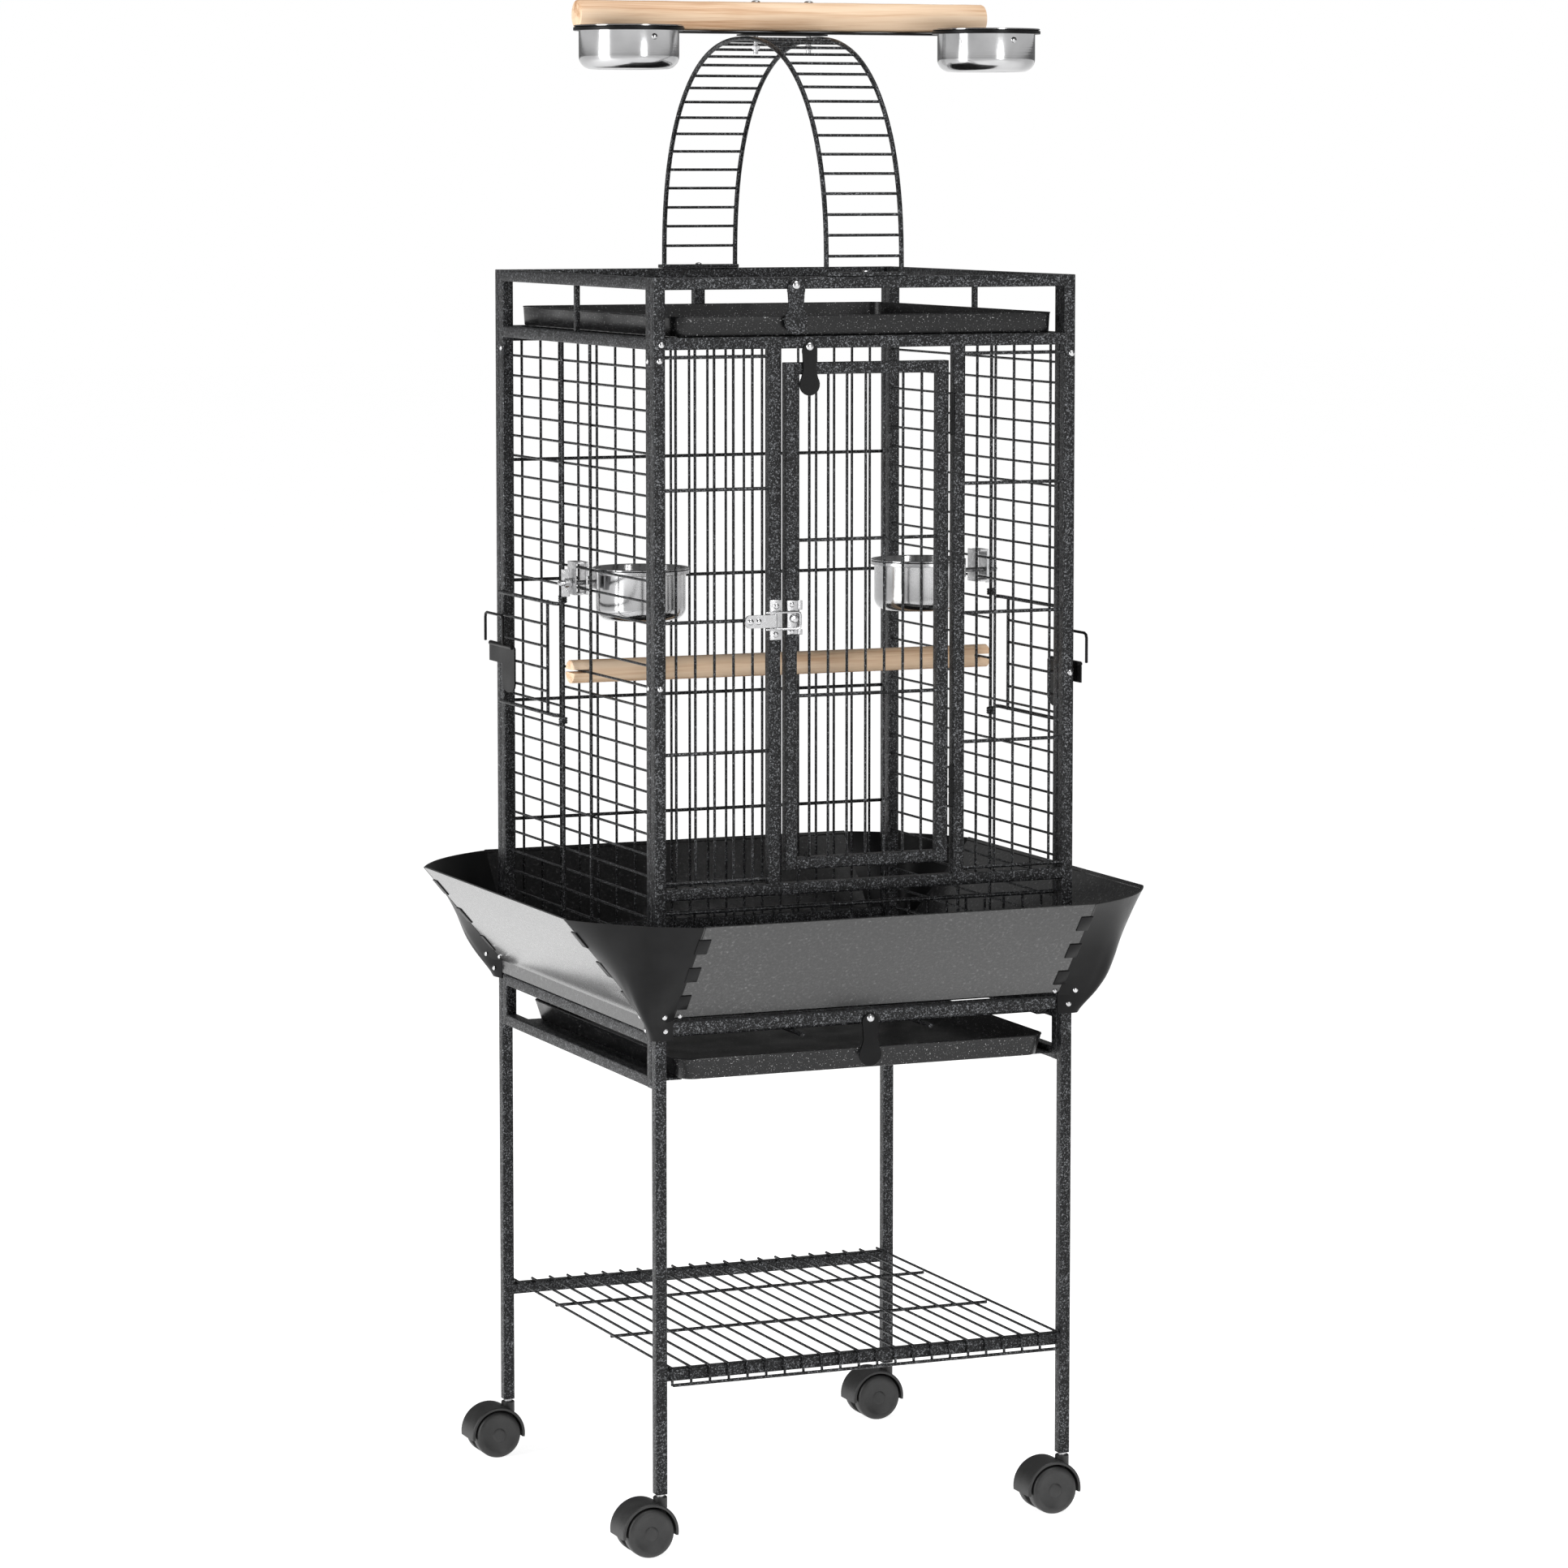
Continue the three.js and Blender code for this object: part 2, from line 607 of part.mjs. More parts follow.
const HALF_TURN = Math.PI;
place('stand_front_frame', standFrame(), 'tube');
place('stand_rear_frame', standFrame(), 'tube', [0, 0, 0], HALF_TURN);
place('wire_shelf', wireShelf(), 'tube');
for (const [name, x, y] of [['front_left', -1, -1], ['front_right', 1, -1], ['rear_left', -1, 1],
  ['rear_right', 1, 1]]) {
  place(`caster_fork_${name}`, casterFork(), 'plastic', [x * STEM, y * STEM, 0]);
  place(`caster_wheels_${name}`, casterWheels(), 'plastic', [x * STEM - TRAIL, y * STEM, WHEEL_R]);
}

place('side_panel_left', sidePanel(), 'tube');
place('side_panel_right', sidePanel(), 'tube', [0, 0, 0], HALF_TURN);
place('front_panel', frontPanel(), 'tube');
place('rear_panel', rearPanel(), 'tube');
place('front_fence', frontFence(), 'tube');
place('roof_grille', roofGrille(), 'tube');
place('floor_grate', floorGrate(), 'tube');
place('bottom_tray', tray(TRAY), 'sheet');
place('top_tray', tray(TOP_TRAY), 'sheet');

for (const [name, size] of Object.entries(FLAPS)) {
  place(name, flap(size), size.look, [size.x, -OUT - FIT - 0.2, size.z]);
}

place('front_door', frontDoor(), 'tube');
for (const [i, name] of ['lower', 'upper'].entries()) {
  place(`door_hinge_${name}`, rod('z', ...HINGES[i], HINGE_X, HINGE_Y, 2.7, 16), 'satin');
}
const { x0: plateLeft, x1: plateRight, z0: plateLow, z1: plateHigh } = LOCK_PLATE;
place('lock_plate', block(plateLeft, plateRight, PLATE_FRONT, -OUT - FIT, plateLow, plateHigh), 'steel');
place('lock_lever', lockLever(), 'steel');
place('lock_bail', lockBail(), 'steel');
place('lock_keeper', lockKeeper(), 'steel');
for (const [name, turn] of [['left', 0], ['right', HALF_TURN]]) {
  place(`feeder_door_${name}`, feederDoor(), 'tube', [0, 0, 0], turn);
  place(`feeder_latch_${name}`, feederLatch(), 'satin', [0, 0, 0], turn);
  place(`feeder_bail_${name}`, feederBail(), 'steel', [0, 0, 0], turn);
}

for (const [quarter, name] of ['rear', 'left', 'front', 'right'].entries()) {
  const low = quarter % 2 ? 528 : 544.5;
  place(`skirt_panel_${name}`, skirtPanel(low), 'sheet', [0, 0, 0], (quarter * Math.PI) / 2);
}
for (const [quarter, name] of ['front_right', 'rear_right', 'rear_left', 'front_left'].entries()) {
  place(`skirt_corner_${name}`, skirtCorner(), 'satin', [0, 0, 0], (quarter * Math.PI) / 2);
}

place('ladder_arch', ladderArch(), 'tube');
place('perch_plate', perchPlate(), 'satin');
place('cup_bar', cupBar(), 'satin');
place('top_perch', rod('x', -PERCH.half, PERCH.half, PERCH.y, PERCH.z, PERCH.r, 24), 'wood');
for (const [name, s, turn] of [['left', -1, HALF_TURN], ['right', 1, 0]]) {
  place(`top_cup_${name}`, cup(TOP_CUP), 'steel', [s * TOP_CUP.x, TOP_CUP.y, TOP_CUP.z0 + 0.2]);
  place(`inner_cup_${name}`, cup(CUP), 'steel', [s * CUP.x, CUP.y, CUP.z0]);
  place(`cup_holder_${name}`, cupHolder(), 'zinc', [s * CUP.x, CUP.y, CUP.z1], turn);
  place(`cup_clamp_${name}`, cupClamp(), 'zinc', [s * CUP.x, CUP.y, CUP.z1], turn);
  place(`wing_nut_${name}`, wingNut(), 'zinc', [s * CUP.x, CUP.y, CUP.z1], turn);
}
place('inner_perch', innerPerch(), 'wood');

export default group;
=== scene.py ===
"""Looks of the play-top bird cage: round welded wires, rolled tubes, sheet metal, wood and steel."""

import math

import bmesh
import bpy
from mathutils import Matrix, Vector


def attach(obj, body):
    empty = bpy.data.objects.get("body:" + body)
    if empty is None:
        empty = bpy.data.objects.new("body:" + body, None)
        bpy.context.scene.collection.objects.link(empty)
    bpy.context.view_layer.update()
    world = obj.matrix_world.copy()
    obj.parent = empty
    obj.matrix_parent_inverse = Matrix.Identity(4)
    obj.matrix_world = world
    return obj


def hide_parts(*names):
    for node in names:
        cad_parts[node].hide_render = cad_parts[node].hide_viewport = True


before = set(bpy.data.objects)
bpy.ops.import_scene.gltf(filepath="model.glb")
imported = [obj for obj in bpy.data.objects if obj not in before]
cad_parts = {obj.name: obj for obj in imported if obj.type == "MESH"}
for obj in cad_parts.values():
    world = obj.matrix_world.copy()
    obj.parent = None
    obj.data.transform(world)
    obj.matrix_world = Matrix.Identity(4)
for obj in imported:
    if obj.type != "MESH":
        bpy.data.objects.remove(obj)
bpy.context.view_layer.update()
MM = 0.001

# ---------------------------------------------------------------- materials


def new_material(name):
    material = bpy.data.materials.new("look_" + name)
    material.use_nodes = True
    tree = material.node_tree
    shader = tree.nodes["Principled BSDF"]
    coords = tree.nodes.new("ShaderNodeTexCoord")
    return material, tree, shader, coords.outputs["Object"]


def noise(tree, vector, scale, detail=2.0, rough=0.5, distortion=0.0):
    node = tree.nodes.new("ShaderNodeTexNoise")
    node.inputs["Scale"].default_value = scale
    node.inputs["Detail"].default_value = detail
    node.inputs["Roughness"].default_value = rough
    node.inputs["Distortion"].default_value = distortion
    tree.links.new(vector, node.inputs["Vector"])
    return node.outputs["Fac"]


def stretch(tree, vector, scale):
    node = tree.nodes.new("ShaderNodeMapping")
    node.inputs["Scale"].default_value = scale
    tree.links.new(vector, node.inputs["Vector"])
    return node.outputs["Vector"]


def grey(level):
    return (level, level, level)


def ramp(tree, shader, socket, value, stops):
    """Drive a shader socket by a value, through stops of position and colour."""
    node = tree.nodes.new("ShaderNodeValToRGB")
    band = node.color_ramp
    while len(band.elements) < len(stops):
        band.elements.new(0.5)
    for element, (at, colour) in zip(band.elements, stops):
        element.position = at
        element.color = (*colour, 1)
    tree.links.new(value, node.inputs["Fac"])
    tree.links.new(node.outputs["Color"], shader.inputs[socket])


def math_node(tree, kind, a, b):
    node = tree.nodes.new("ShaderNodeMath")
    node.operation = kind
    for socket, value in zip(node.inputs, (a, b)):
        if isinstance(value, (int, float)):
            socket.default_value = value
        else:
            tree.links.new(value, socket)
    return node.outputs[0]


def waver(tree, base, drift, amount):
    """The base value moved up and down by a second noise."""
    centred = math_node(tree, "SUBTRACT", drift, 0.5)
    return math_node(tree, "ADD", base, math_node(tree, "MULTIPLY", centred, amount))


def bump(tree, shader, height, strength, distance):
    node = tree.nodes.new("ShaderNodeBump")
    node.inputs["Strength"].default_value = strength
    node.inputs["Distance"].default_value = distance
    tree.links.new(height, node.inputs["Height"])
    tree.links.new(node.outputs["Normal"], shader.inputs["Normal"])


def hammertone():
    """Black coat with silver worm-like veins about a millimetre wide."""
    material, tree, shader, at = new_material("hammertone")
    veins = noise(tree, at, 680, 2, 0.5, 0.8)
    drift = noise(tree, at, 60, 2)
    height = waver(tree, veins, drift, 0.12)
    ramp(tree, shader, "Base Color", height,
         [(0.48, (0.004, 0.004, 0.0045)), (0.54, (0.012, 0.0125, 0.0135)),
          (0.6, (0.075, 0.078, 0.083)), (0.7, (0.2, 0.205, 0.215))])
    ramp(tree, shader, "Roughness", height, [(0.5, grey(0.42)), (0.66, grey(0.3))])
    shader.inputs["Metallic"].default_value = 0.3
    shader.inputs["Specular IOR Level"].default_value = 0.3
    bump(tree, shader, height, 0.5, 0.0008)
    return material


def satin_black():
    """Deep black sheet with a fine grain and slow changes of gloss."""
    material, tree, shader, at = new_material("satin_black")
    grain = noise(tree, at, 900, 3)
    patch = noise(tree, at, 30, 3)
    ramp(tree, shader, "Base Color", patch, [(0.3, (0.003, 0.003, 0.0032)), (0.7, (0.008, 0.008, 0.0085))])
    ramp(tree, shader, "Roughness", patch, [(0.35, grey(0.3)), (0.7, grey(0.42))])
    shader.inputs["Specular IOR Level"].default_value = 0.14
    bump(tree, shader, grain, 0.12, 0.0004)
    return material


def grey_sheet():
    """Dark grey coat with orange peel and fine light flecks."""
    material, tree, shader, at = new_material("grey_sheet")
    peel = noise(tree, at, 330, 3, 0.6, 0.4)
    patch = noise(tree, at, 9, 3)
    flecks = waver(tree, peel, patch, 0.15)
    ramp(tree, shader, "Base Color", flecks,
         [(0.4, (0.006, 0.006, 0.0062)), (0.6, (0.016, 0.016, 0.0165)), (0.74, grey(0.1))])
    ramp(tree, shader, "Roughness", peel, [(0.4, grey(0.34)), (0.7, grey(0.24))])
    shader.inputs["Specular IOR Level"].default_value = 0.2
    shader.inputs["Coat Weight"].default_value = 0.9
    shader.inputs["Coat Roughness"].default_value = 0.13
    bump(tree, shader, peel, 0.12, 0.0005)
    return material


def tray_black():
    """Black pressed sheet with small light specks."""
    material, tree, shader, at = new_material("tray_black")
    fleck = noise(tree, at, 700, 2, 0.5, 0.2)
    gloss = noise(tree, at, 25, 3)
    ramp(tree, shader, "Base Color", fleck,
         [(0.55, (0.004, 0.004, 0.0045)), (0.66, (0.02, 0.02, 0.021)), (0.74, grey(0.5))])
    ramp(tree, shader, "Roughness", gloss, [(0.35, grey(0.28)), (0.7, grey(0.4))])
    shader.inputs["Specular IOR Level"].default_value = 0.3
    bump(tree, shader, fleck, 0.15, 0.0004)
    return material


def steel():
    """Spun stainless: faint rings round the axis and soft smears."""
    material, tree, shader, at = new_material("polished_steel")
    spun = noise(tree, stretch(tree, at, (12, 12, 1400)), 1.0, 3)
    smear = noise(tree, at, 24, 3)
    ramp(tree, shader, "Base Color", smear, [(0.3, (0.36, 0.36, 0.365)), (0.7, (0.5, 0.5, 0.505))])
    ramp(tree, shader, "Roughness", smear, [(0.3, grey(0.12)), (0.7, grey(0.2))])
    shader.inputs["Metallic"].default_value = 1.0
    bump(tree, shader, spun, 0.06, 0.0003)
    return material


def zinc(name="zinc", low=0.4, high=0.66, rough=0.3):
    """Plated metal, patchy between a low and a high brightness."""
    material, tree, shader, at = new_material(name)
    patch = noise(tree, at, 160, 4, 0.6, 0.5)
    ramp(tree, shader, "Base Color", patch, [(0.3, (low, low, low * 1.02)), (0.7, (high, high, high * 1.01))])
    ramp(tree, shader, "Roughness", patch, [(0.3, grey(rough + 0.1)), (0.7, grey(rough - 0.08))])
    shader.inputs["Metallic"].default_value = 1.0
    bump(tree, shader, noise(tree, at, 700, 3), 0.1, 0.0003)
    return material


def pine():
    """Pale turned wood, grain along X, reddish late wood."""
    material, tree, shader, at = new_material("pine")
    wide = noise(tree, stretch(tree, at, (2.2, 60, 60)), 1.0, 4, 0.6, 0.6)
    fine = noise(tree, stretch(tree, at, (16, 700, 700)), 1.0, 3, 0.6)
    grain = waver(tree, wide, fine, 0.28)
    ramp(tree, shader, "Base Color", grain,
         [(0.32, (0.5, 0.27, 0.14)), (0.42, (0.68, 0.44, 0.27)), (0.52, (0.8, 0.58, 0.39)),
          (0.66, (0.86, 0.66, 0.48))])
    ramp(tree, shader, "Roughness", fine, [(0.3, grey(0.5)), (0.7, grey(0.66))])
    bump(tree, shader, fine, 0.25, 0.0005)
    return material


def plastic():
    """Moulded black plastic of the casters."""
    material, tree, shader, at = new_material("caster_plastic")
    grain = noise(tree, at, 1100, 2)
    patch = noise(tree, at, 60, 3)
    ramp(tree, shader, "Base Color", patch, [(0.3, grey(0.012)), (0.7, grey(0.024))])
    ramp(tree, shader, "Roughness", grain, [(0.3, grey(0.42)), (0.7, grey(0.54))])
    bump(tree, shader, grain, 0.15, 0.0003)
    return material


HAMMER = hammertone()
SATIN = satin_black()
SHEET = grey_sheet()
PAN = tray_black()
STEEL = steel()
ZINC = zinc()
CHROME = zinc("chrome", 0.45, 0.62, 0.18)
PINE = pine()
PLASTIC = plastic()

# ---------------------------------------------------------------- mesh tools, in millimetres


END_RADIUS, END_LENGTH = 0.3, 0.15  # a cut wire's rounded end, as shares of its diameter


def circle(centre, side, up, r, sides):
    """Ring of points round a centre, in the plane of two directions."""
    turns = [2 * math.pi * k / sides for k in range(sides)]
    return [centre + side * r * math.cos(q) + up * r * math.sin(q) for q in turns]


class Shape:
    """Points and faces that grow by simple solids; every method gives the shape back."""

    def __init__(self):
        self.points = []
        self.faces = []

    def add(self, points, faces):
        base = len(self.points)
        self.points += [Vector(p) for p in points]
        self.faces += [[base + i for i in face] for face in faces]
        return self

    def loft(self, rings, caps=True, loop=False):
        """Skin over rings of equal length; loop joins the last ring to the first."""
        n = len(rings[0])
        last = len(rings) if loop else len(rings) - 1
        faces = []
        for k in range(last):
            a = k * n
            b = ((k + 1) % len(rings)) * n
            faces += [[a + i, a + (i + 1) % n, b + (i + 1) % n, b + i] for i in range(n)]
        if caps and not loop:
            faces += [list(range(n))[::-1], list(range((len(rings) - 1) * n, len(rings) * n))]
        return self.add([p for ring in rings for p in ring], faces)

    def wire(self, path, d, sides=10, loop=False):
        """Round wire along a path, with softly rounded ends."""
        path = [Vector(p) for p in path]
        rings, side, count = [], None, len(path)
        for i, point in enumerate(path):
            behind = path[i - 1] if i or loop else point
            ahead = path[(i + 1) % count] if i < count - 1 or loop else point
            along = (ahead - behind).normalized()
            side = along.orthogonal() if side is None else side - along * side.dot(along)
            side.normalize()
            up = along.cross(side)
            if not loop and i == 0:
                rings.append(circle(point, side, up, d * END_RADIUS, sides))
                point = point + along * d * END_LENGTH
            if not loop and i == count - 1:
                rings.append(circle(point - along * d * END_LENGTH, side, up, d / 2, sides))
                rings.append(circle(point, side, up, d * END_RADIUS, sides))
            else:
                rings.append(circle(point, side, up, d / 2, sides))
        return self.loft(rings, loop=loop)

    def tube(self, low, high, r=1.4, arc=4):
        """Bar with rolled long edges, along its longest side."""
        low, high = Vector(low), Vector(high)
        size = high - low
        run = max(range(3), key=lambda i: size[i])
        a, b = [i for i in range(3) if i != run]
        r = min(r, size[a] / 2.1, size[b] / 2.1)

        def ring(at, inset):
            points = []
            for ca, cb, start in ((high[a], high[b], 0), (low[a], high[b], 90), (low[a], low[b], 180),
                                  (high[a], low[b], 270)):
                ca += (-r if start in (0, 270) else r)
                cb += (-r if start in (0, 90) else r)
                for k in range(arc + 1):
                    q = math.radians(start + 90 * k / arc)
                    p = [0, 0, 0]
                    p[run] = at
                    p[a] = ca + (r - inset) * math.cos(q)
                    p[b] = cb + (r - inset) * math.sin(q)
                    points.append(p)
            return points

        soft = min(0.4, r * 0.6)
        return self.loft([ring(low[run], soft), ring(low[run] + soft, 0), ring(high[run] - soft, 0),
                          ring(high[run], soft)])

    def turn(self, profile, at=(0, 0, 0), axis="z", sides=48, loop=False):
        """Solid of revolution; profile is radius and height pairs."""
        at = Vector(at)
        rings = []
        for radius, height in profile:
            ring = []
            for k in range(sides):
                q = 2 * math.pi * k / sides
                u, v = radius * math.cos(q), radius * math.sin(q)
                spot = {"z": (u, v, height), "y": (v, height, u), "x": (height, u, v)}[axis]
                ring.append(at + Vector(spot))
            rings.append(ring)
        return self.loft(rings, caps=not loop, loop=loop)

    def plate(self, outline, place, thick, soft=0.3):
        """Flat plate: outline in the plane, place(u, v, w) gives the point at height w."""
        cu = sum(u for u, _ in outline) / len(outline)
        cv = sum(v for _, v in outline) / len(outline)
        reach = max(math.hypot(u - cu, v - cv) for u, v in outline)
        small = [(cu + (u - cu) * (1 - soft / reach), cv + (v - cv) * (1 - soft / reach)) for u, v in outline]
        stack = [(small, 0), (outline, soft), (outline, thick - soft), (small, thick)]
        return self.loft([[place(u, v, w) for u, v in ring] for ring, w in stack])

    def turned(self, quarters):
        """Copy turned by quarter turns about the cage's upright middle line."""
        spin = Matrix.Rotation(quarters * math.pi / 2, 4, "Z")
        out = Shape()
        out.faces = self.faces
        out.points = [spin @ p for p in self.points]
        return out

    def moved(self, x, y, z):
        out = Shape()
        out.faces = self.faces
        out.points = [p + Vector((x, y, z)) for p in self.points]
        return out


def piece(name, shape, material, body, *nodes, sharp=32):
    """Mesh object from a shape, riding on a body and standing for CAD nodes."""
    mesh = bpy.data.meshes.new(name)
    mesh.from_pydata([p * MM for p in shape.points], [], shape.faces)
    work = bmesh.new()
    work.from_mesh(mesh)
    bmesh.ops.recalc_face_normals(work, faces=work.faces)
    work.to_mesh(mesh)
    work.free()
    mesh.materials.append(material)
    mesh.polygons.foreach_set("use_smooth", [True] * len(mesh.polygons))
    mesh.set_sharp_from_angle(angle=math.radians(sharp))
    thing = bpy.data.objects.new(name, mesh)
    bpy.context.scene.collection.objects.link(thing)
    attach(thing, body)
    if nodes:
        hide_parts(*nodes)
    return thing


def repaint(material, *nodes):
    """Better material on a CAD node that keeps its shape."""
    for node in nodes:
        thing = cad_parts[node]
        thing.data.materials.clear()
        thing.data.materials.append(material)


# ---------------------------------------------------------------- sizes shared by the pieces

OUT, IN = 230, 218  # outer and inner faces of the square corner tubes
TUBE = OUT - IN
STAND_RAIL, SHELF_BAR = 526, 175  # undersides of the stand's rails
LEG_TOP, TOP = 560.3, 1278  # where the stand ends and where the cage ends
CAGE_RAIL, ROOF_RAIL = 660, 1207  # undersides of the cage's rails
LAP = 1  # how far a tube or wire runs into the one it is welded to
WIRE, CROSS = 2.8, 3.6  # diameters of the upright and the cross wires
FRONT_PITCH, REAR_PITCH, SIDE_PITCH, GRATE_PITCH = 20.5, 21.3, 21.12, 20.4
SIDE_TOP = 1188.2  # highest of the side panel's level wires
SIDE_X, POST_X, POST_Y = 222.5, 225.3, 40  # level wires, and the uprights that hold them
CASTER_AT, CASTER_TRAIL, AXLE = 224, 17, 25  # stem from the middle, axle behind the stem, axle height


def both(side, near, far):
    """Two distances on one side of the middle (-1 or 1), the lower one first."""
    return sorted((side * near, side * far))


def dome(shape, at, axis, r=3.6, high=2.4, sides=20):
    """Round screw head along 'x', 'y' or 'z'; a '-' in front makes it face the other way."""
    way = -1 if axis[0] == "-" else 1
    bulge = [(0.96, 0), (1, 0.25), (0.86, 0.62), (0.5, 0.92), (0.12, 1)]
    return shape.turn([(r * wide, way * high * up) for wide, up in bulge], at, axis[-1], sides)


# ---------------------------------------------------------------- stand


def stand_frame():
    s = Shape()
    for side in (-1, 1):
        x0, x1 = both(side, IN, OUT)
        s.tube((x0, -OUT, 60), (x1, -IN, LEG_TOP - 0.3))
    for z in (STAND_RAIL, SHELF_BAR):
        s.tube((-IN - LAP, -OUT + 0.05, z), (IN + LAP, -IN - 0.05, z + TUBE))
    return s


def wire_shelf():
    """Wires that run front to back, bent down over the front bar and welded to three cross wires."""
    s = Shape()
    wires = 22
    half = (wires - 1) / 2 * GRATE_PITCH
    top, cross = 188.8, 3.4
    bend = [(-232.6, 171), (-233, 172.6), (-233, 186.2), (-232.5, 187.8), (-231.1, top)]
    for k in range(wires):
        x = (k - (wires - 1) / 2) * GRATE_PITCH
        s.wire([(x, y, z) for y, z in bend + [(229, top)]], WIRE)
    for y, z in ((101.5, top - WIRE), (-60.5, top - WIRE), (-234.4, 171.8)):
        s.wire([(-half, y, z), (half, y, z)], cross)
    return s


def swept(section, first, sweep, steps):
    """Rings of a section of radius and width, carried round the caster's axle by angles in degrees."""
    rings = []
    for k in range(steps + 1):
        q = math.radians(first + sweep * k / steps)
        rings.append([(-CASTER_TRAIL + r * math.cos(q), y, AXLE + r * math.sin(q)) for r, y in section])
    return rings


def caster_fork():
    """Hood over the wheels, the web between them and the boss round the stem."""
    hood = [(27, -19), (29.2, -19), (30, -18.2), (30, 18.2), (29.2, 19), (27, 19)]
    web = [(6, -3.8), (28, -3.8), (28, 3.8), (6, 3.8)]
    s = Shape().loft(swept(hood, -8, 196, 32))
    s.loft(swept(web, -6, 192, 24))
    return s.turn([(7.2, 46), (7.2, 56.7), (6.6, 57.5), (4.2, 57.6)], sides=32)


def caster_stem():
    return Shape().turn([(4, 52), (4, 88), (3.4, 89)], sides=24)


def caster_wheels():
    """Two wheels on one axle: hub, dished face, rolled edge and tread of one, then its mirror."""
    side = [(0.4, 20.2), (5, 20.6), (6.6, 20.2), (7.4, 19.6), (17.4, 20.4), (18.4, 20.9), (20.6, 20.9),
            (23.2, 20), (24.5, 18.4), (25, 16.2), (25, 7.6), (24.4, 6.6), (8, 6.2), (5, 5.4)]
    return Shape().turn(side + [(r, -y) for r, y in reversed(side)], axis="y", sides=56)


def make_stand():
    piece("stand_front", stand_frame(), HAMMER, "cage", "stand_front_frame")
    piece("stand_rear", stand_frame().turned(2), HAMMER, "cage", "stand_rear_frame")
    piece("shelf", wire_shelf(), HAMMER, "cage", "wire_shelf")
    corners = (("front_left", -1, -1), ("front_right", 1, -1), ("rear_left", -1, 1), ("rear_right", 1, 1))
    for where, right, back in corners:
        x, y = CASTER_AT * right, CASTER_AT * back
        fork = caster_fork().moved(x, y, 0)
        stem = caster_stem().moved(x, y, 0)
        wheels = caster_wheels().moved(x - CASTER_TRAIL, y, AXLE)
        piece("hood_" + where, fork, PLASTIC, "caster_" + where, "caster_fork_" + where)
        piece("stem_" + where, stem, ZINC, "caster_" + where)
        piece("wheels_" + where, wheels, PLASTIC, "wheels_" + where, "caster_wheels_" + where)


# ---------------------------------------------------------------- cage panels


def side_panel():
    """Left side; the right side is the same panel turned round."""
    s = Shape()
    foot, reach = 471, 207
    for side in (-1, 1):
        y0, y1 = both(side, reach - LAP, 217.7)
        s.tube((-OUT, y0, foot), (-IN, y1, TOP))
    for z in (foot, STAND_RAIL - TUBE, STAND_RAIL, ROOF_RAIL, TOP - TUBE):
        s.tube((-OUT + 0.05, -reach, z), (-IN - 0.05, reach, z + TUBE))
    s.tube((-226.7, -2.75, ROOF_RAIL + TUBE - LAP), (-221.3, 2.75, TOP - TUBE + LAP), 1)
    tray_ledge, grate_ledge = (190, 474.8, 477.4), (204, 516.2, 519.2)
    for inner, low, high in (tray_ledge, grate_ledge):
        s.tube((-IN - 0.5, -200, low), (-inner, 200, high), 0.6)
    doorway = range(12, 17)
    for i in range(31):
        z = SIDE_TOP - i * SIDE_PITCH
        far = POST_Y + 1.2 if i in doorway else reach
        s.wire([(-SIDE_X, -reach, z), (-SIDE_X, far, z)], 2.6)
    for y in (-POST_Y, POST_Y):
        s.wire([(-POST_X, y, STAND_RAIL + TUBE - LAP), (-POST_X, y, ROOF_RAIL + LAP)], 3.4)
    return s


def front_panel():
    """Frame with two door jambs, wires on both sides of the doorway and the wire stop behind the door."""
    s = Shape()
    low, high = CAGE_RAIL + TUBE - LAP, ROOF_RAIL + LAP
    for z in (CAGE_RAIL, ROOF_RAIL, TOP - TUBE):
        s.tube((-IN - LAP, -OUT + 0.05, z), (IN + LAP, -IN - 0.05, z + TUBE))
    for side in (-1, 1):
        x0, x1 = both(side, IN, OUT)
        s.tube((x0, -OUT, LEG_TOP), (x1, -IN, TOP))
        x0, x1 = both(side, 95, 107.3)
        s.tube((x0, -OUT + 0.1, low), (x1, -IN - 0.1, high))
        for k in range(6, 11):
            x = side * k * FRONT_PITCH
            s.wire([(x, -224, low), (x, -224, high)], WIRE)
        for z in (1199.6, 1068.4, 937.2, 806, 677):
            s.wire([(side * 106.5, -227, z), (side * (IN + LAP), -227, z)], CROSS)
    s.wire([(-70, -215.6, 650), (-70, -215.6, 676), (-67, -215.4, 688), (-61, -215.4, 701)], 2.6)
    return s


def rear_panel():
    s = Shape()
    for z in (LEG_TOP, ROOF_RAIL, TOP - TUBE):
        s.tube((-IN - LAP, IN + 0.05, z), (IN + LAP, OUT - 0.05, z + TUBE))
    for side in (-1, 1):
        x0, x1 = both(side, IN, OUT)
        s.tube((x0, IN, LEG_TOP), (x1, OUT, TOP))
    for k in range(20):
        x = (k - 9.5) * REAR_PITCH
        s.wire([(x, 224, LEG_TOP + TUBE - LAP), (x, 224, ROOF_RAIL + LAP)], WIRE)
    for z in (1204, 1076, 947.4, 818.7, 691):
        s.wire([(-IN - LAP, 227, z), (IN + LAP, 227, z)], CROSS)
    s.tube((-6, IN + 0.3, ROOF_RAIL + TUBE - LAP), (6, OUT - 0.3, TOP - TUBE + LAP))
    return s


def fence():
    """Wire strip behind the front skirt panel."""
    s = Shape()
    y = -213
    for z, thick in ((645.5, 4.4), (543, 3)):
        s.wire([(-217, y, z), (217, y, z)], thick)
    for k in range(20):
        x = (k - 9.5) * REAR_PITCH
        s.wire([(x, y, 542), (x, y, 645)], WIRE)
    return s


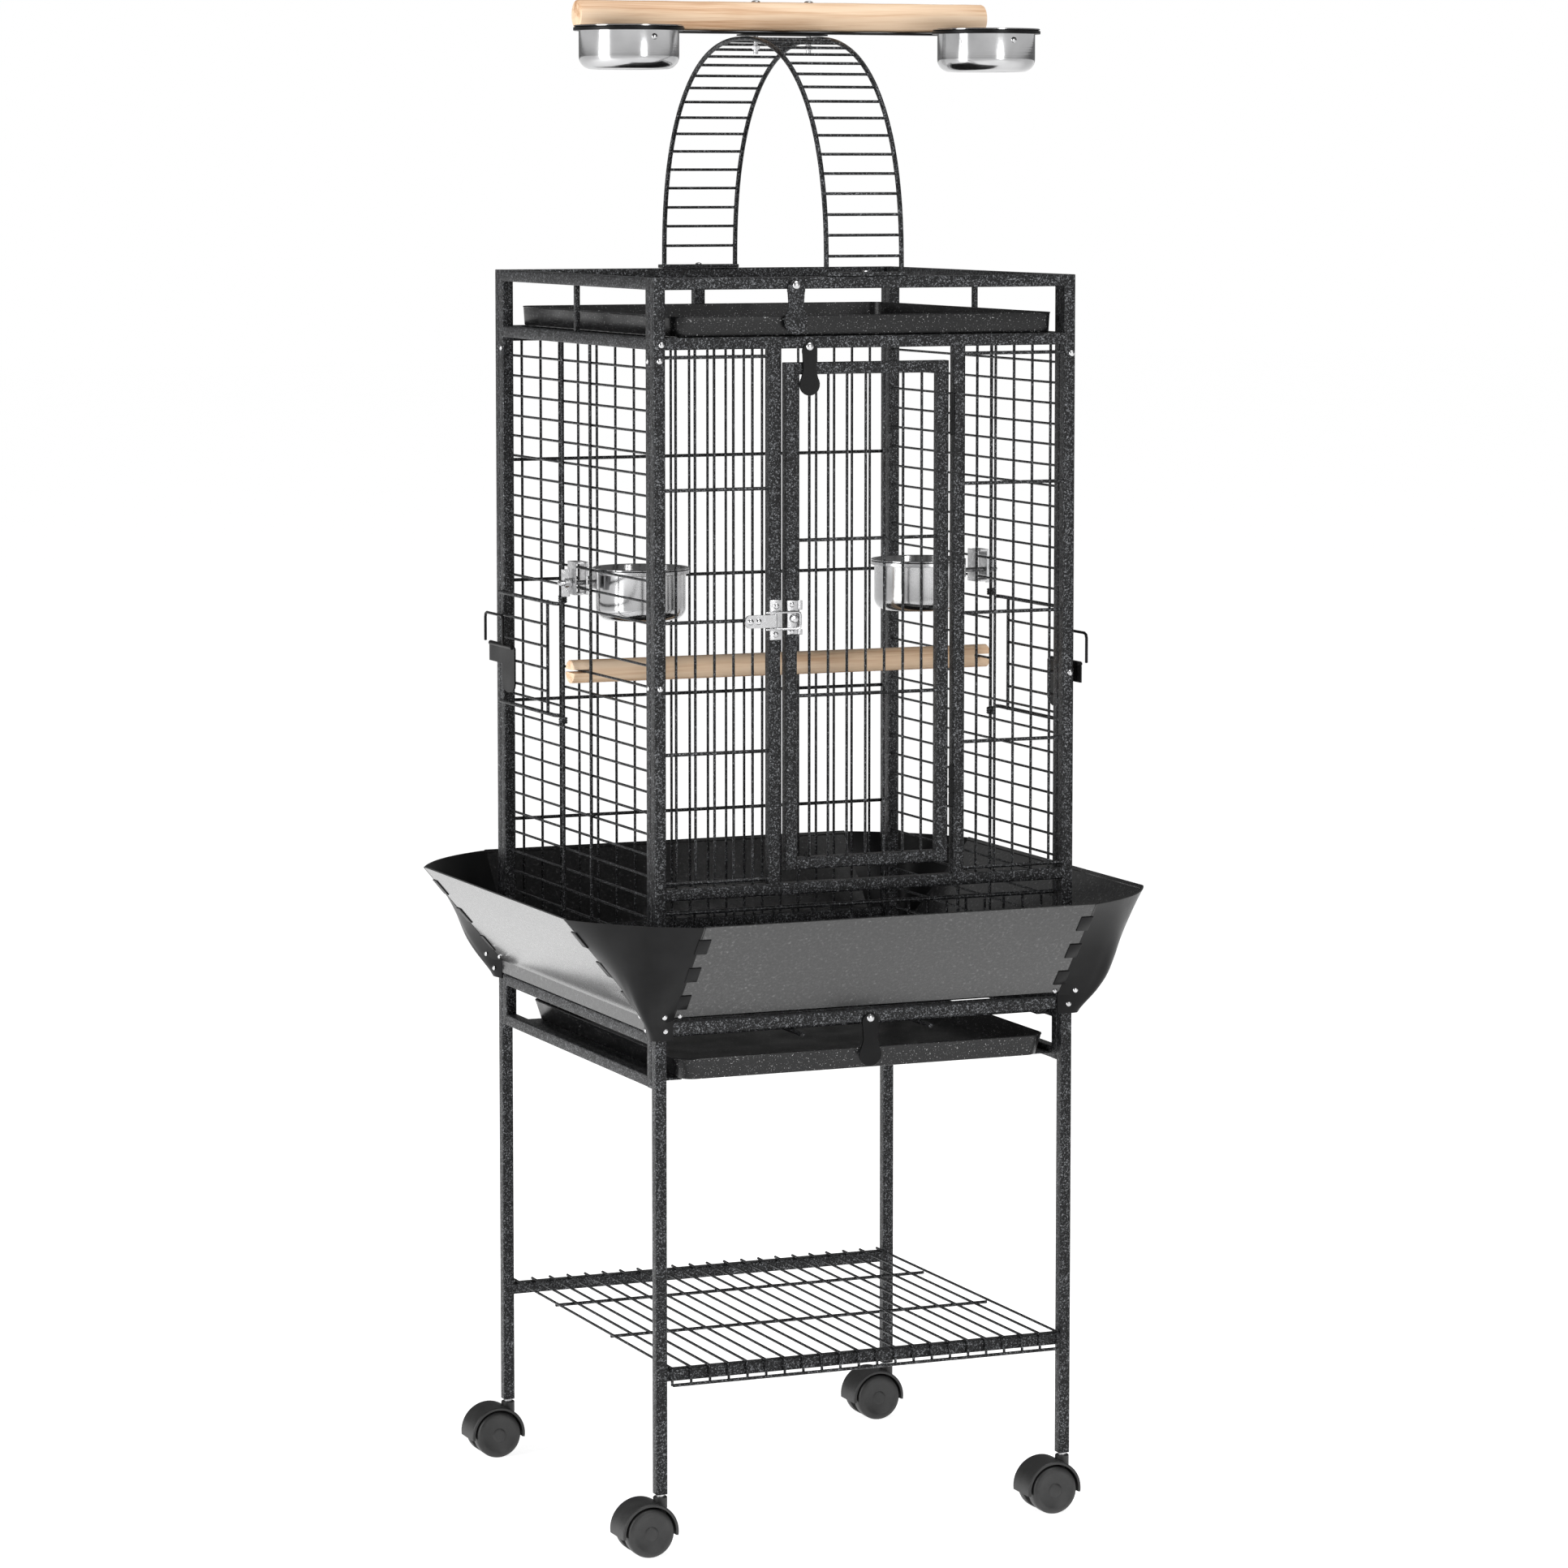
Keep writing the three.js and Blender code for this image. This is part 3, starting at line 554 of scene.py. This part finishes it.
def roof_grille():
    s = Shape()
    for x in (-214, 214):
        s.wire([(x, -217, 1213.2), (x, 217, 1213.2)], 3.6)
    for k in range(21):
        y = (k - 10) * GRATE_PITCH
        s.wire([(-215.8, y, 1216.1), (215.8, y, 1216.1)], WIRE)
    return s


def floor_grate():
    s = Shape()
    for x in (-71, 71):
        s.wire([(x, -230, 517.4), (x, 206, 517.4)], 5, 12)
    for k in range(21):
        y = (k - 10) * GRATE_PITCH
        s.wire([(-213, y, 521.1), (213, y, 521.1)], WIRE)
    return s


def make_panels():
    piece("side_left", side_panel(), HAMMER, "cage", "side_panel_left")
    piece("side_right", side_panel().turned(2), HAMMER, "cage", "side_panel_right")
    piece("front", front_panel(), HAMMER, "cage", "front_panel")
    piece("rear", rear_panel(), HAMMER, "cage", "rear_panel")
    piece("fence", fence(), HAMMER, "cage", "front_fence")
    piece("grille", roof_grille(), HAMMER, "cage", "roof_grille")
    piece("grate", floor_grate(), HAMMER, "floor_grate", "floor_grate")


# ---------------------------------------------------------------- trays, flaps


def rounded(half, y0, y1, z, r, inset):
    """Level rectangle with round corners, drawn in by the inset."""
    points = []
    for x, y, start in ((1, 0, -90), (1, 1, 0), (-1, 1, 90), (-1, 0, 180)):
        cx = x * (half - r)
        cy = (y1 - r) if y else (y0 + r)
        for k in range(7):
            q = math.radians(start + 15 * k)
            points.append((cx + (r - inset) * math.cos(q), cy + (r - inset) * math.sin(q), z))
    return points


def pan(half, slope, y0, y1, z0, z1):
    """Pressed tray with a soft bottom edge and a rolled rim."""
    outside = [(slope + 1.6, z0), (slope + 0.4, z0 + 0.4), (slope - 0.3, z0 + 1.5), (0.7, z1 - 1.8)]
    rim = [(0, z1 - 0.9), (0.2, z1 - 0.2), (0.9, z1), (1.7, z1 - 0.3), (1.9, z1 - 1.2)]
    inside = [(slope + 0.9, z0 + 2.2), (slope + 1.7, z0 + 1.4), (slope + 3, z0 + 1.2)]
    profile = outside + rim + inside
    return Shape().loft([rounded(half, y0, y1, z, 14 + slope, inset) for inset, z in profile])


def peanut(width, length, head):
    """Outline of a two-lobed plate; the screw is at 0, 0 and the plate hangs down."""
    big, small = width / 2, width * 0.37
    up, down = head - small, head - length + big
    waist = up * 0.45 + down * 0.55
    points = []
    for centre, r, start, side in ((up, small, -20, -1), (down, big, 145, 1)):
        sweep = 180 - 2 * start if r == small else 250
        for k in range(17):
            q = math.radians(start + sweep * k / 16)
            points.append((r * math.cos(q), centre + r * math.sin(q)))
        points.append((side * small * 0.84, waist))
    return points


def make_flap(name, material, x, z, width, length, head):
    s = Shape().plate(peanut(width, length, head), lambda u, v, w: (x + u, -230.5 - w, z + v), 2.4, 0.5)
    piece("plate_" + name, s, material, name, name)
    screw = dome(Shape(), (x, -232.8, z - 0.6), "-y", 4, 2.2, 28)
    piece("screw_" + name, screw, ZINC, name)


def make_trays():
    piece("pan_bottom", pan(204, 7, -229, 205, 478, 500), PAN, "bottom_tray", "bottom_tray")
    piece("pan_top", pan(209, 2, -227, 215, 1219.4, 1240), PAN, "top_tray", "top_tray")
    make_flap("flap_top_tray", HAMMER, -79.1, 1270.4, 25.8, 54, 4.6)
    make_flap("flap_door", SATIN, -64.6, 1209.4, 22, 52.5, 3.1)
    make_flap("flap_bottom_tray", SATIN, 2.5, 530.7, 24.6, 54.4, 4.3)


# ---------------------------------------------------------------- doors


def front_door():
    s = Shape()
    inner, low, high = 77, 685, 1193
    for side in (-1, 1):
        x0, x1 = both(side, inner, inner + TUBE)
        s.tube((x0, -OUT, low), (x1, -IN, high))
    half = inner + LAP
    for z in (low, high - TUBE):
        s.tube((-half, -OUT + 0.05, z), (half, -IN - 0.05, z + TUBE))
    for k in range(-3, 4):
        x = k * FRONT_PITCH
        s.wire([(x, -224, low + TUBE - LAP), (x, -224, high - TUBE + LAP)], WIRE)
    for z in (1015.8, 859.9):
        s.wire([(-half, -227, z), (half, -227, z)], CROSS)
    return s


def hinge(z0, z1):
    """Knuckled barrel with a pin head at each end."""
    s = Shape()
    profile = [(1.4, z0 - 0.8), (2.1, z0 - 0.4), (2.1, z0 + 0.2)]
    step = (z1 - z0) / 3
    for k in range(3):
        a = z0 + k * step
        b = z0 + (k + 1) * step
        profile += [(2.3, a + 0.3), (2.7, a + 0.7), (2.7, b - 0.7), (2.3, b - 0.3)]
    profile += [(2.1, z1 - 0.2), (2.1, z1 + 0.4), (1.4, z1 + 0.8)]
    return s.turn(profile, (92, -231, 0), sides=24)


def lock_base():
    """Plate on the jamb with the two ears that hold the lever's pin."""
    s = Shape().tube((-107, -231.8, 917), (-94.6, -230.3, 957), 0.6)
    s.tube((-105.6, -233.4, 943.4), (-99, -231.6, 945.2), 0.5)
    return s.tube((-105.6, -233.4, 927.8), (-99, -231.6, 929.6), 0.5)


def lock_handle():
    """Strap with a round end, its pin barrel and the two rivets of the bail."""
    middle, high, low = 936.5, 943, 930
    arc = [math.pi * k / 8 for k in range(9)]
    end = [(-136 + 5 * (1 - math.sin(q)), middle + 6.5 * math.cos(q)) for q in arc]
    strap = [(-103, high)] + end + [(-103, low)]
    s = Shape().plate(strap, lambda u, v, w: (u, -234.2 - w, v), 2.4, 0.4)
    s.turn([(2, low), (2.4, low + 0.4), (2.4, high - 0.4), (2, high)], (-103, -234.4, 0), sides=20)
    for x in (-130, -121.5):
        dome(s, (x, -236.4, middle), "-y", 3.2, 1.8)
    return s


def lock_loop():
    """Wire bail that hooks over the keeper's stud."""
    bend = [(-113, 944.9), (-79, 944.9), (-76.4, 943.6), (-75.8, 941),
            (-75.8, 932), (-76.4, 929.3), (-79, 928), (-113, 928)]
    return Shape().wire([(x, -235.4, z) for x, z in bend], 2.4, 12)


def lock_catch():
    """Keeper on the door: plate, two ears and the stud."""
    s = Shape().tube((-88.6, -231.8, 922), (-76.6, -230.3, 956), 0.6)
    s.tube((-77.2, -233.2, 947), (-72.6, -231.2, 956), 0.6)
    s.tube((-77.2, -233.2, 922), (-72.6, -231.2, 927), 0.6)
    stud = [(2.4, -231.5), (2.4, -233.2), (3.8, -233.7), (4, -235), (3.2, -236), (0.6, -236.3)]
    return s.turn(stud, (-81.6, 0, 938), "y", 28)


def lock_screws(spots, r, high):
    s = Shape()
    for x, z in spots:
        dome(s, (x, -231.7, z), "-y", r, high)
    return s


def make_lock():
    piece("lock_base", lock_base(), CHROME, "cage", "lock_plate")
    base_screws = lock_screws([(-100.3, 950.8), (-101.2, 922.6)], 3, 1.6)
    piece("lock_base_screws", base_screws, ZINC, "cage")
    piece("lock_handle", lock_handle(), CHROME, "lock_lever", "lock_lever")
    piece("lock_loop", lock_loop(), CHROME, "lock_bail", "lock_bail")
    piece("lock_catch", lock_catch(), CHROME, "front_door", "lock_keeper")
    catch_screws = lock_screws([(-83.6, 952), (-83.6, 925)], 2.8, 1.5)
    piece("lock_catch_screws", catch_screws, ZINC, "front_door")


def coil(s, z0, z1, turns):
    """Hook wound round the upright wire, seen as close turns."""
    facets, r = 14, 3.4
    steps = facets * turns
    path = []
    for k in range(steps + 1):
        q = 2 * math.pi * k / facets + math.pi / 2
        path.append((-225.8 - r * math.sin(q), POST_Y + r * math.cos(q), z0 + (z1 - z0) * k / steps))
    s.wire(path, 2.6, 8)


def feeder_door():
    s = Shape()
    for z, z0, z1 in ((936.5, 938, 944.5), (820.3, 818.5, 812)):
        hook = [(-228.6, POST_Y + 2.6), (-230.6, POST_Y + 5), (-232.3, POST_Y + 9), (-232.3, 214)]
        s.wire([(x, y, z) for x, y in hook], 4)
        coil(s, z0, z1, 3)
    for y in (71, 203.5):
        s.wire([(-231, y, 818.5), (-231, y, 938.5)], 3.4)
    for z in (913, 890, 867, 843.5):
        s.wire([(-232.6, 66, z), (-232.6, 204, z)], WIRE)
    return s


def feeder_latch():
    """Bent plate with a round lower lobe, and the rolled eye that holds the bail."""
    s = Shape()
    lobe = [math.pi * k / 8 for k in range(1, 8)]
    outline = [(158, 880), (158, 842)]
    outline += [(177 - 19 * math.cos(q), 842 - 10 * math.sin(q)) for q in lobe]
    outline += [(196, 842), (196, 862), (236, 862), (236, 879), (233, 882), (161, 882)]
    s.plate(outline, lambda u, v, w: (-234.6 - w, u, v), 1.8, 0.4)
    s.wire([(-236.2, 164, 881), (-236.2, 233, 881)], 5, 14)
    return s


def feeder_bail():
    """Upright wire loop, open at the foot."""
    bend = [(187, 882.6), (187, 909), (188.4, 911.8), (191, 913),
            (237, 913), (240.6, 911.6), (242, 908), (242, 882.6)]
    return Shape().wire([(-238.4, y, z) for y, z in bend], 3, 12)


def make_doors():
    piece("door", front_door(), HAMMER, "front_door", "front_door")
    piece("hinge_lower", hinge(741, 783), SATIN, "cage", "door_hinge_lower")
    piece("hinge_upper", hinge(1118, 1160), SATIN, "cage", "door_hinge_upper")
    make_lock()
    for side, turns in (("left", 0), ("right", 2)):
        door, bail = "feeder_door_" + side, "feeder_bail_" + side
        piece("feeder_wires_" + side, feeder_door().turned(turns), HAMMER, door, door)
        piece("feeder_plate_" + side, feeder_latch().turned(turns), SATIN, door, "feeder_latch_" + side)
        piece("feeder_loop_" + side, feeder_bail().turned(turns), SATIN, bail, bail)


# ---------------------------------------------------------------- seed skirt

FOOT, FLARE = 232.4, 320  # how far the flat panels stand out at the knee and at the rim
KNEE, RIM = 541, 645.5
HALF = 213.6  # half the width of a flat panel
# the corner sheets' middle line: height, and how far out it stands both in x and in y
KEEL = [(521.5, 233.8), (527, 236.5), (534, 241), (545, 248),
        (562, 256), (582, 261.4), (600, 265), (RIM, 276)]


def on_skirt(x, up, proud):
    """Point on the front skirt face: up from 0 at the knee to 1 at the rim, proud off the sheet."""
    lean, rise = FLARE - FOOT, RIM - KNEE
    size = math.hypot(lean, rise)
    y = -(FOOT + lean * up) - proud * rise / size
    return (x, y, KNEE + rise * up - proud * lean / size)


def skirt_panel(low):
    """Flat flared panel with a folded rim; one that starts below the knee has an upright foot."""
    sheet = 1.1
    start = 0.03 if low > KNEE else 0
    fold = [(0.985, 0), (1, -0.3), (0.998, -1.9), (0.97, -1.9), (0.965, -sheet)]
    face = [on_skirt(0, up, proud)[1:] for up, proud in [(start, 0)] + fold + [(start, -sheet)]]
    if low < KNEE:
        face = [(-FOOT, low)] + face + [(-FOOT + sheet, low)]
    return Shape().loft([[(x, y, z) for y, z in face] for x in (-HALF, -HALF + 0.3, HALF - 0.3, HALF)])


def fingers():
    """Square tabs of the corner sheets that lap over the front panel's two side edges."""
    s = Shape()
    slant = 140  # about the panel's height along its slope
    for side in (-1, 1):
        x0, x1 = both(side, 202, 215)
        for low, high in ((0.12, 0.27), (0.42, 0.57), (0.72, 0.87)):
            rings = []
            for proud, inset in ((0.1, 0), (0.8, 0), (1.1, 0.5)):
                a, b = low + inset / slant, high - inset / slant
                square = ((x0 + inset, a), (x1 - inset, a), (x1 - inset, b), (x0 + inset, b))
                rings.append([on_skirt(x, up, proud) for x, up in square])
            s.loft(rings)
    return s


def smooth_keel(z):
    """How far the corner's keel stands out at a height, by a smooth curve through the KEEL levels."""
    k = max(i for i, (level, _) in enumerate(KEEL[:-1]) if level <= z)
    slopes = []
    for i in (k, k + 1):
        (za, ka), (zb, kb) = KEEL[max(i - 1, 0)], KEEL[min(i + 1, len(KEEL) - 1)]
        slopes.append((kb - ka) / (zb - za))
    (z0, k0), (z1, k1) = KEEL[k], KEEL[k + 1]
    run = z1 - z0
    t = (z - z0) / run
    return ((2 * t ** 3 - 3 * t ** 2 + 1) * k0 + (t ** 3 - 2 * t ** 2 + t) * run * slopes[0]
            + (3 * t ** 2 - 2 * t ** 3) * k1 + (t ** 3 - t ** 2) * run * slopes[1])


def corner_point(t, z, inset):
    """Point of the front-right corner sheet, t from 0 at the right panel to 1 at the front panel."""
    keel = smooth_keel(min(z, RIM - 0.001)) - inset
    far = FOOT + (FLARE - FOOT) * max(z - KNEE, 0) / (RIM - KNEE) - inset
    near = HALF - 1.5
    pull = 2 * keel - (near + far) / 2
    a, b, c = (1 - t) ** 2, 2 * t * (1 - t), t ** 2
    crease = math.exp(-((t - 0.3) / 0.06) ** 2) + math.exp(-((t - 0.7) / 0.06) ** 2)
    dip = 1.1 * crease * math.exp(-((z - 562) / 26) ** 2)
    return (a * far + b * pull + c * near - dip, -(a * near + b * pull + c * far) + dip, z)


def skirt_corner():
    """Bulged corner sheet with a shallow crease down each side of its keel."""
    levels, steps = 26, 24
    turns = [i / steps for i in range(steps + 1)]
    rings = []
    for k in range(levels + 1):
        z = KEEL[0][0] + (RIM - KEEL[0][0]) * k / levels
        outer = [corner_point(t, z, -0.3) for t in turns]
        inner = [corner_point(t, z, 1.4) for t in turns]
        rings.append(outer + inner[::-1])
    return Shape().loft(rings)


def skirt_bolts():
    """Two bolts on each corner tab and one at each lower corner of the flat panel."""
    s = Shape()
    for side in (-1, 1):
        for z in (547, 531.7):
            x, y, _ = corner_point(0.87, z, -0.3)
            dome(s, (side * x, y + 0.4, z), "-y", 3, 2)
        spot = on_skirt(side * 207, 0.05, 0.4)
        dome(s, spot, "-y", 2.6, 2)
    return s


def make_skirt():
    for quarter, (name, low) in enumerate((("front", 544.5), ("right", 528), ("rear", 544.5), ("left", 528))):
        sheet = skirt_panel(low).turned(quarter)
        piece("skirt_" + name, sheet, SHEET, "cage", "skirt_panel_" + name, sharp=20)
        piece("skirt_tabs_" + name, fingers().turned(quarter), SATIN, "cage")
        piece("skirt_bolts_" + name, skirt_bolts().turned(quarter), ZINC, "cage")
    for quarter, where in enumerate(("front_right", "rear_right", "rear_left", "front_left")):
        sheet = skirt_corner().turned(quarter)
        piece("corner_" + where, sheet, SATIN, "cage", "skirt_corner_" + where, sharp=24)


# ---------------------------------------------------------------- play top


ARCH_HALF, ARCH_BASE, ARCH_RISE, ARCH_POWER = 219, 1286, 232, 2 / 2.33


def arch_point(t):
    """Depth and height on the arch, a superellipse, for t from 0 at the rear foot to pi at the front."""
    c, n = math.cos(t), math.sin(t)
    return (ARCH_HALF * math.copysign(abs(c) ** ARCH_POWER, c), ARCH_BASE + ARCH_RISE * abs(n) ** ARCH_POWER)


def arch():
    """Two bent side wires, rungs at even steps along the curve and two saddle feet."""
    s = Shape()
    half, rung, first, step = 41, 3, 16, 20.6
    side = [arch_point(math.pi * k / 64) for k in range(65)]
    for x in (-half, half):
        path = [(x, ARCH_HALF, 1279)] + [(x, y, z) for y, z in side] + [(x, -ARCH_HALF, 1279)]
        s.wire(path, 5, 12)
    fine = [arch_point(math.pi * k / 1200) for k in range(1201)]
    run, goal = 0, first
    for (ya, za), (yb, zb) in zip(fine, fine[1:]):
        run += math.hypot(yb - ya, zb - za)
        if run >= goal and (yb > 0 or zb > 1296):
            s.wire([(-half, yb, zb), (half, yb, zb)], rung)
            goal += step
    for end in (-1, 1):
        y0, y1 = both(end, 215, OUT)
        s.tube((-44, y0, 1278.3), (44, y1, 1282), 1)
    return s


TOP_CUP_X, TOP_CUP_Y = 198, -82


def cup_bar():
    """Flat bar under the top perch with a ring for a cup at each end."""
    s = Shape().tube((-207, -18, 1522.6), (207, 0, 1524.9), 0.8)
    ring = [(51.6, 1522.9), (52, 1522.6), (55.7, 1522.6), (56, 1523),
            (56, 1525.7), (55.6, 1526), (52, 1526), (51.6, 1525.7)]
    for x in (-TOP_CUP_X, TOP_CUP_X):
        s.turn(ring, (x, TOP_CUP_Y, 0), sides=72, loop=True)
        s.tube((x - 9, -29, 1522.7), (x + 9, -10, 1524.8), 0.8)
    return s


def dowel(half, r, y, z):
    """Turned stick along X with softened ends and a slightly uneven surface."""
    steps, soft, uneven = 24, 1.8, 0.12
    profile = [(r - 1.6, -half), (r - 0.5, -half + 0.5), (r, -half + soft)]
    for k in range(1, steps):
        x = -half + soft + (2 * half - 2 * soft) * k / steps
        profile.append((r + uneven * math.sin(k * 1.7), x))
    profile += [(r, half - soft), (r - 0.5, half - 0.5), (r - 1.6, half)]
    return Shape().turn(profile, (0, y, z), "x", 48)


def cup(body, rim, height):
    """Drawn steel cup: round bottom corner, straight wall, rolled rim."""
    r, sheet = 13, 1.2
    bend = [math.radians(10 * k) for k in range(1, 10)]
    outer = [(0.5, 0), (body - r - 1, 0)]
    outer += [(body - r + r * math.sin(q), r - r * math.cos(q)) for q in bend]
    outer += [(body, height - 4), (body + 0.5, height - 2.4)]
    roll = [(rim - 1.4, height - 1.9), (rim, height - 1.3), (rim, height - 0.5), (rim - 0.8, height),
            (body - 0.6, height - 0.1), (body - 1.1, height - 1.4)]
    inner = [(body - r + (r - sheet) * math.sin(q), r - (r - sheet) * math.cos(q)) for q in bend[::-1]]
    return outer + roll + inner + [(body - r - 1, sheet), (0.5, sheet)]


def make_play_top():
    piece("arch", arch(), HAMMER, "cage", "ladder_arch")
    piece("ring_bar", cup_bar(), SATIN, "cage", "cup_bar")
    repaint(SATIN, "perch_plate")
    piece("perch_top", dowel(227, 15, -9, 1540.2), PINE, "cage", "top_perch")
    bolts = Shape()
    nut = [(3.9, 1506.5), (4.2, 1507), (4.2, 1510.6), (3.9, 1511)]
    thread = [(2.3, 1502), (2.4, 1502.6), (2.4, 1524)]
    for x in (-29.5, 29.5):
        dome(bolts, (x, -9, 1555), "z", 4.6, 2)
        bolts.turn(nut, (x, -9, 0), sides=6)
        bolts.turn(thread, (x, -9, 0), sides=16)
    for y in (-222.6, 222.6):
        dome(bolts, (0, y, 1282), "z", 3.4, 2)
    piece("play_top_bolts", bolts, ZINC, "cage")
    for side, x in (("left", -TOP_CUP_X), ("right", TOP_CUP_X)):
        s = Shape().turn(cup(50.5, 55.5, 44), (x, TOP_CUP_Y, 1484.2), sides=72)
        piece("cup_top_" + side, s, STEEL, "top_cup_" + side, "top_cup_" + side)
        rivet = dome(Shape(), (x + 8, -132, 1516), "-y", 3, 1.6)
        piece("rivet_top_" + side, rivet, STEEL, "top_cup_" + side)


# ---------------------------------------------------------------- inside


def slotted_perch():
    """Turned perch whose ends are sawn into two jaws."""
    s = Shape()
    z, half, r = 870.5, 236, 12
    slot, slot_half = 871.4, 1.8
    low, high = slot - slot_half - z, slot + slot_half - z

    def lens(x, a, b, soft):
        """Slice of the round section between the heights a and b."""
        points = []
        qa, qb = math.asin(max(-1, min(1, a / r))), math.asin(max(-1, min(1, b / r)))
        for k in range(13):
            q = qa + (qb - qa) * k / 12
            points.append((x, -6 + (r - soft) * math.cos(q), z + (r - soft) * math.sin(q)))
        for k in range(13):
            q = qb + (qa - qb) * k / 12
            points.append((x, -6 - (r - soft) * math.cos(q), z + (r - soft) * math.sin(q)))
        return points

    for side in (-1, 1):
        for a, b in ((-r, low), (high, r)):
            s.loft([lens(side * x, a, b, soft) for x, soft in ((216, 0), (half - 1, 0), (half, 1))])
    profile = [(r, -217)] + [(r, -217 + 18.08 * k) for k in range(1, 24)] + [(r, 217)]
    s.turn(profile, (0, -6, z), "x", 48)
    return s


def cup_holder():
    """Ring with a lug, inner clamp plate and threaded stud pointing to +X, from the cup's rim level."""
    s = Shape()
    ring = [(47.2, -5.9), (47.6, -6.2), (49.7, -6.2), (50, -5.8),
            (50, -2.6), (49.7, -2.2), (47.6, -2.2), (47.2, -2.5)]
    s.turn(ring, sides=64, loop=True)
    s.tube((49, -8, -21), (51.6, 8, -2.4), 0.8)
    s.tube((62, -10, -26), (63.8, 11, 8), 0.8)
    thread = 0.76
    profile = [(2.2, 51)]
    for k in range(50):
        profile += [(2.1, 52 + k * thread), (2.5, 52.38 + k * thread)]
    s.turn(profile + [(1.8, 91)], (0, 0, -14), "x", 16)
    return s


def make_inside():
    piece("perch_inner", slotted_perch(), PINE, "cage", "inner_perch")
    for side, x, turns in (("left", -157, 2), ("right", 157, 0)):
        s = Shape().turn(cup(46.5, 50, 54), (x, -6, 922), sides=72)
        piece("cup_inner_" + side, s, STEEL, "inner_cup_" + side, "inner_cup_" + side)
        holder = cup_holder().turned(turns).moved(x, -6, 976)
        piece("holder_" + side, holder, ZINC, "cage", "cup_holder_" + side)
        repaint(ZINC, "cup_clamp_" + side, "wing_nut_" + side)


def make_post_bolts():
    """Bolt heads on the corner posts, on the front and on both sides."""
    s = Shape()
    for x, z in ((-224, 1196), (-224, 872), (-222, 1212), (226, 1198), (226, 872)):
        dome(s, (x, -OUT + 0.1, z), "-y", 3, 1.8)
    for y in (-212, 212):
        for z in (872, 1196, 532):
            dome(s, (-OUT + 0.1, y, z), "-x", 3, 1.8)
            dome(s, (OUT - 0.1, y, z), "x", 3, 1.8)
    piece("post_bolts", s, ZINC, "cage")


make_stand()
make_panels()
make_trays()
make_doors()
make_skirt()
make_play_top()
make_inside()
make_post_bolts()

# ---------------------------------------------------------------- stage, light and camera


def stage_floor():
    """White floor that glows a little, so that it runs into the white background."""
    material, tree, shader, at = new_material("studio_floor")
    ramp(tree, shader, "Base Color", noise(tree, at, 2.0, 2), [(0.0, grey(0.86)), (1.0, grey(0.9))])
    shader.inputs["Roughness"].default_value = 0.9
    shader.inputs["Emission Color"].default_value = (1, 1, 1, 1)
    shader.inputs["Emission Strength"].default_value = 0.82
    mesh = bpy.data.meshes.new("studio_floor")
    reach = 30
    corners = [(-reach, -reach, 0), (reach, -reach, 0), (reach, reach, 0), (-reach, reach, 0)]
    mesh.from_pydata(corners, [], [(0, 1, 2, 3)])
    mesh.materials.append(material)
    floor = bpy.data.objects.new("studio_floor", mesh)
    bpy.context.scene.collection.objects.link(floor)


def lamp(name, at, aim, size, power):
    """Rectangular lamp at a place, turned to a point it aims at; metres and watts."""
    data = bpy.data.lights.new(name, "AREA")
    data.shape = "RECTANGLE"
    data.size, data.size_y = size
    data.energy = power
    thing = bpy.data.objects.new(name, data)
    thing.location = at
    thing.rotation_euler = (Vector(aim) - Vector(at)).to_track_quat("-Z", "Y").to_euler()
    bpy.context.scene.collection.objects.link(thing)


def white_world():
    """Background that the camera sees as white but that lights the cage only weakly."""
    lighting = 0.2
    world = bpy.data.worlds.new("studio")
    world.use_nodes = True
    nodes = world.node_tree.nodes
    glow = nodes["Background"]
    glow.inputs["Color"].default_value = (1, 1, 1, 1)
    seen = nodes.new("ShaderNodeLightPath").outputs["Is Camera Ray"]
    strength = math_node(world.node_tree, "MULTIPLY_ADD", seen, 1 - lighting)
    strength.node.inputs[2].default_value = lighting
    world.node_tree.links.new(strength, glow.inputs["Strength"])
    bpy.context.scene.world = world


def lamps():
    """Tall soft lamps at the left and the front, and one above."""
    lamp("key", (-3.2, -0.6, 1.3), (0, 0, 0.7), (1.2, 2.4), 70)
    lamp("top", (0.3, -0.9, 4.2), (0, 0, 0.8), (2.0, 2.0), 70)
    lamp("front", (0.9, -4.6, 1.9), (0, 0, 0.9), (0.9, 2.2), 55)


def camera():
    """The photo's view: from the front left, a little above the middle."""
    tilt_down, turn = 5.5197, -22.9137
    data = bpy.data.cameras.new("camera")
    data.sensor_width = 36
    data.lens = 121.35
    data.shift_y = -0.07
    data.clip_end = 100
    thing = bpy.data.objects.new("camera", data)
    thing.location = (-2.136, -5.0669, 1.3899)
    thing.rotation_euler = (math.radians(90 - tilt_down), 0, math.radians(turn))
    bpy.context.scene.collection.objects.link(thing)
    bpy.context.scene.camera = thing


stage_floor()
white_world()
lamps()
camera()
bpy.context.scene.view_settings.view_transform = "Standard"

bpy.context.view_layer.update()
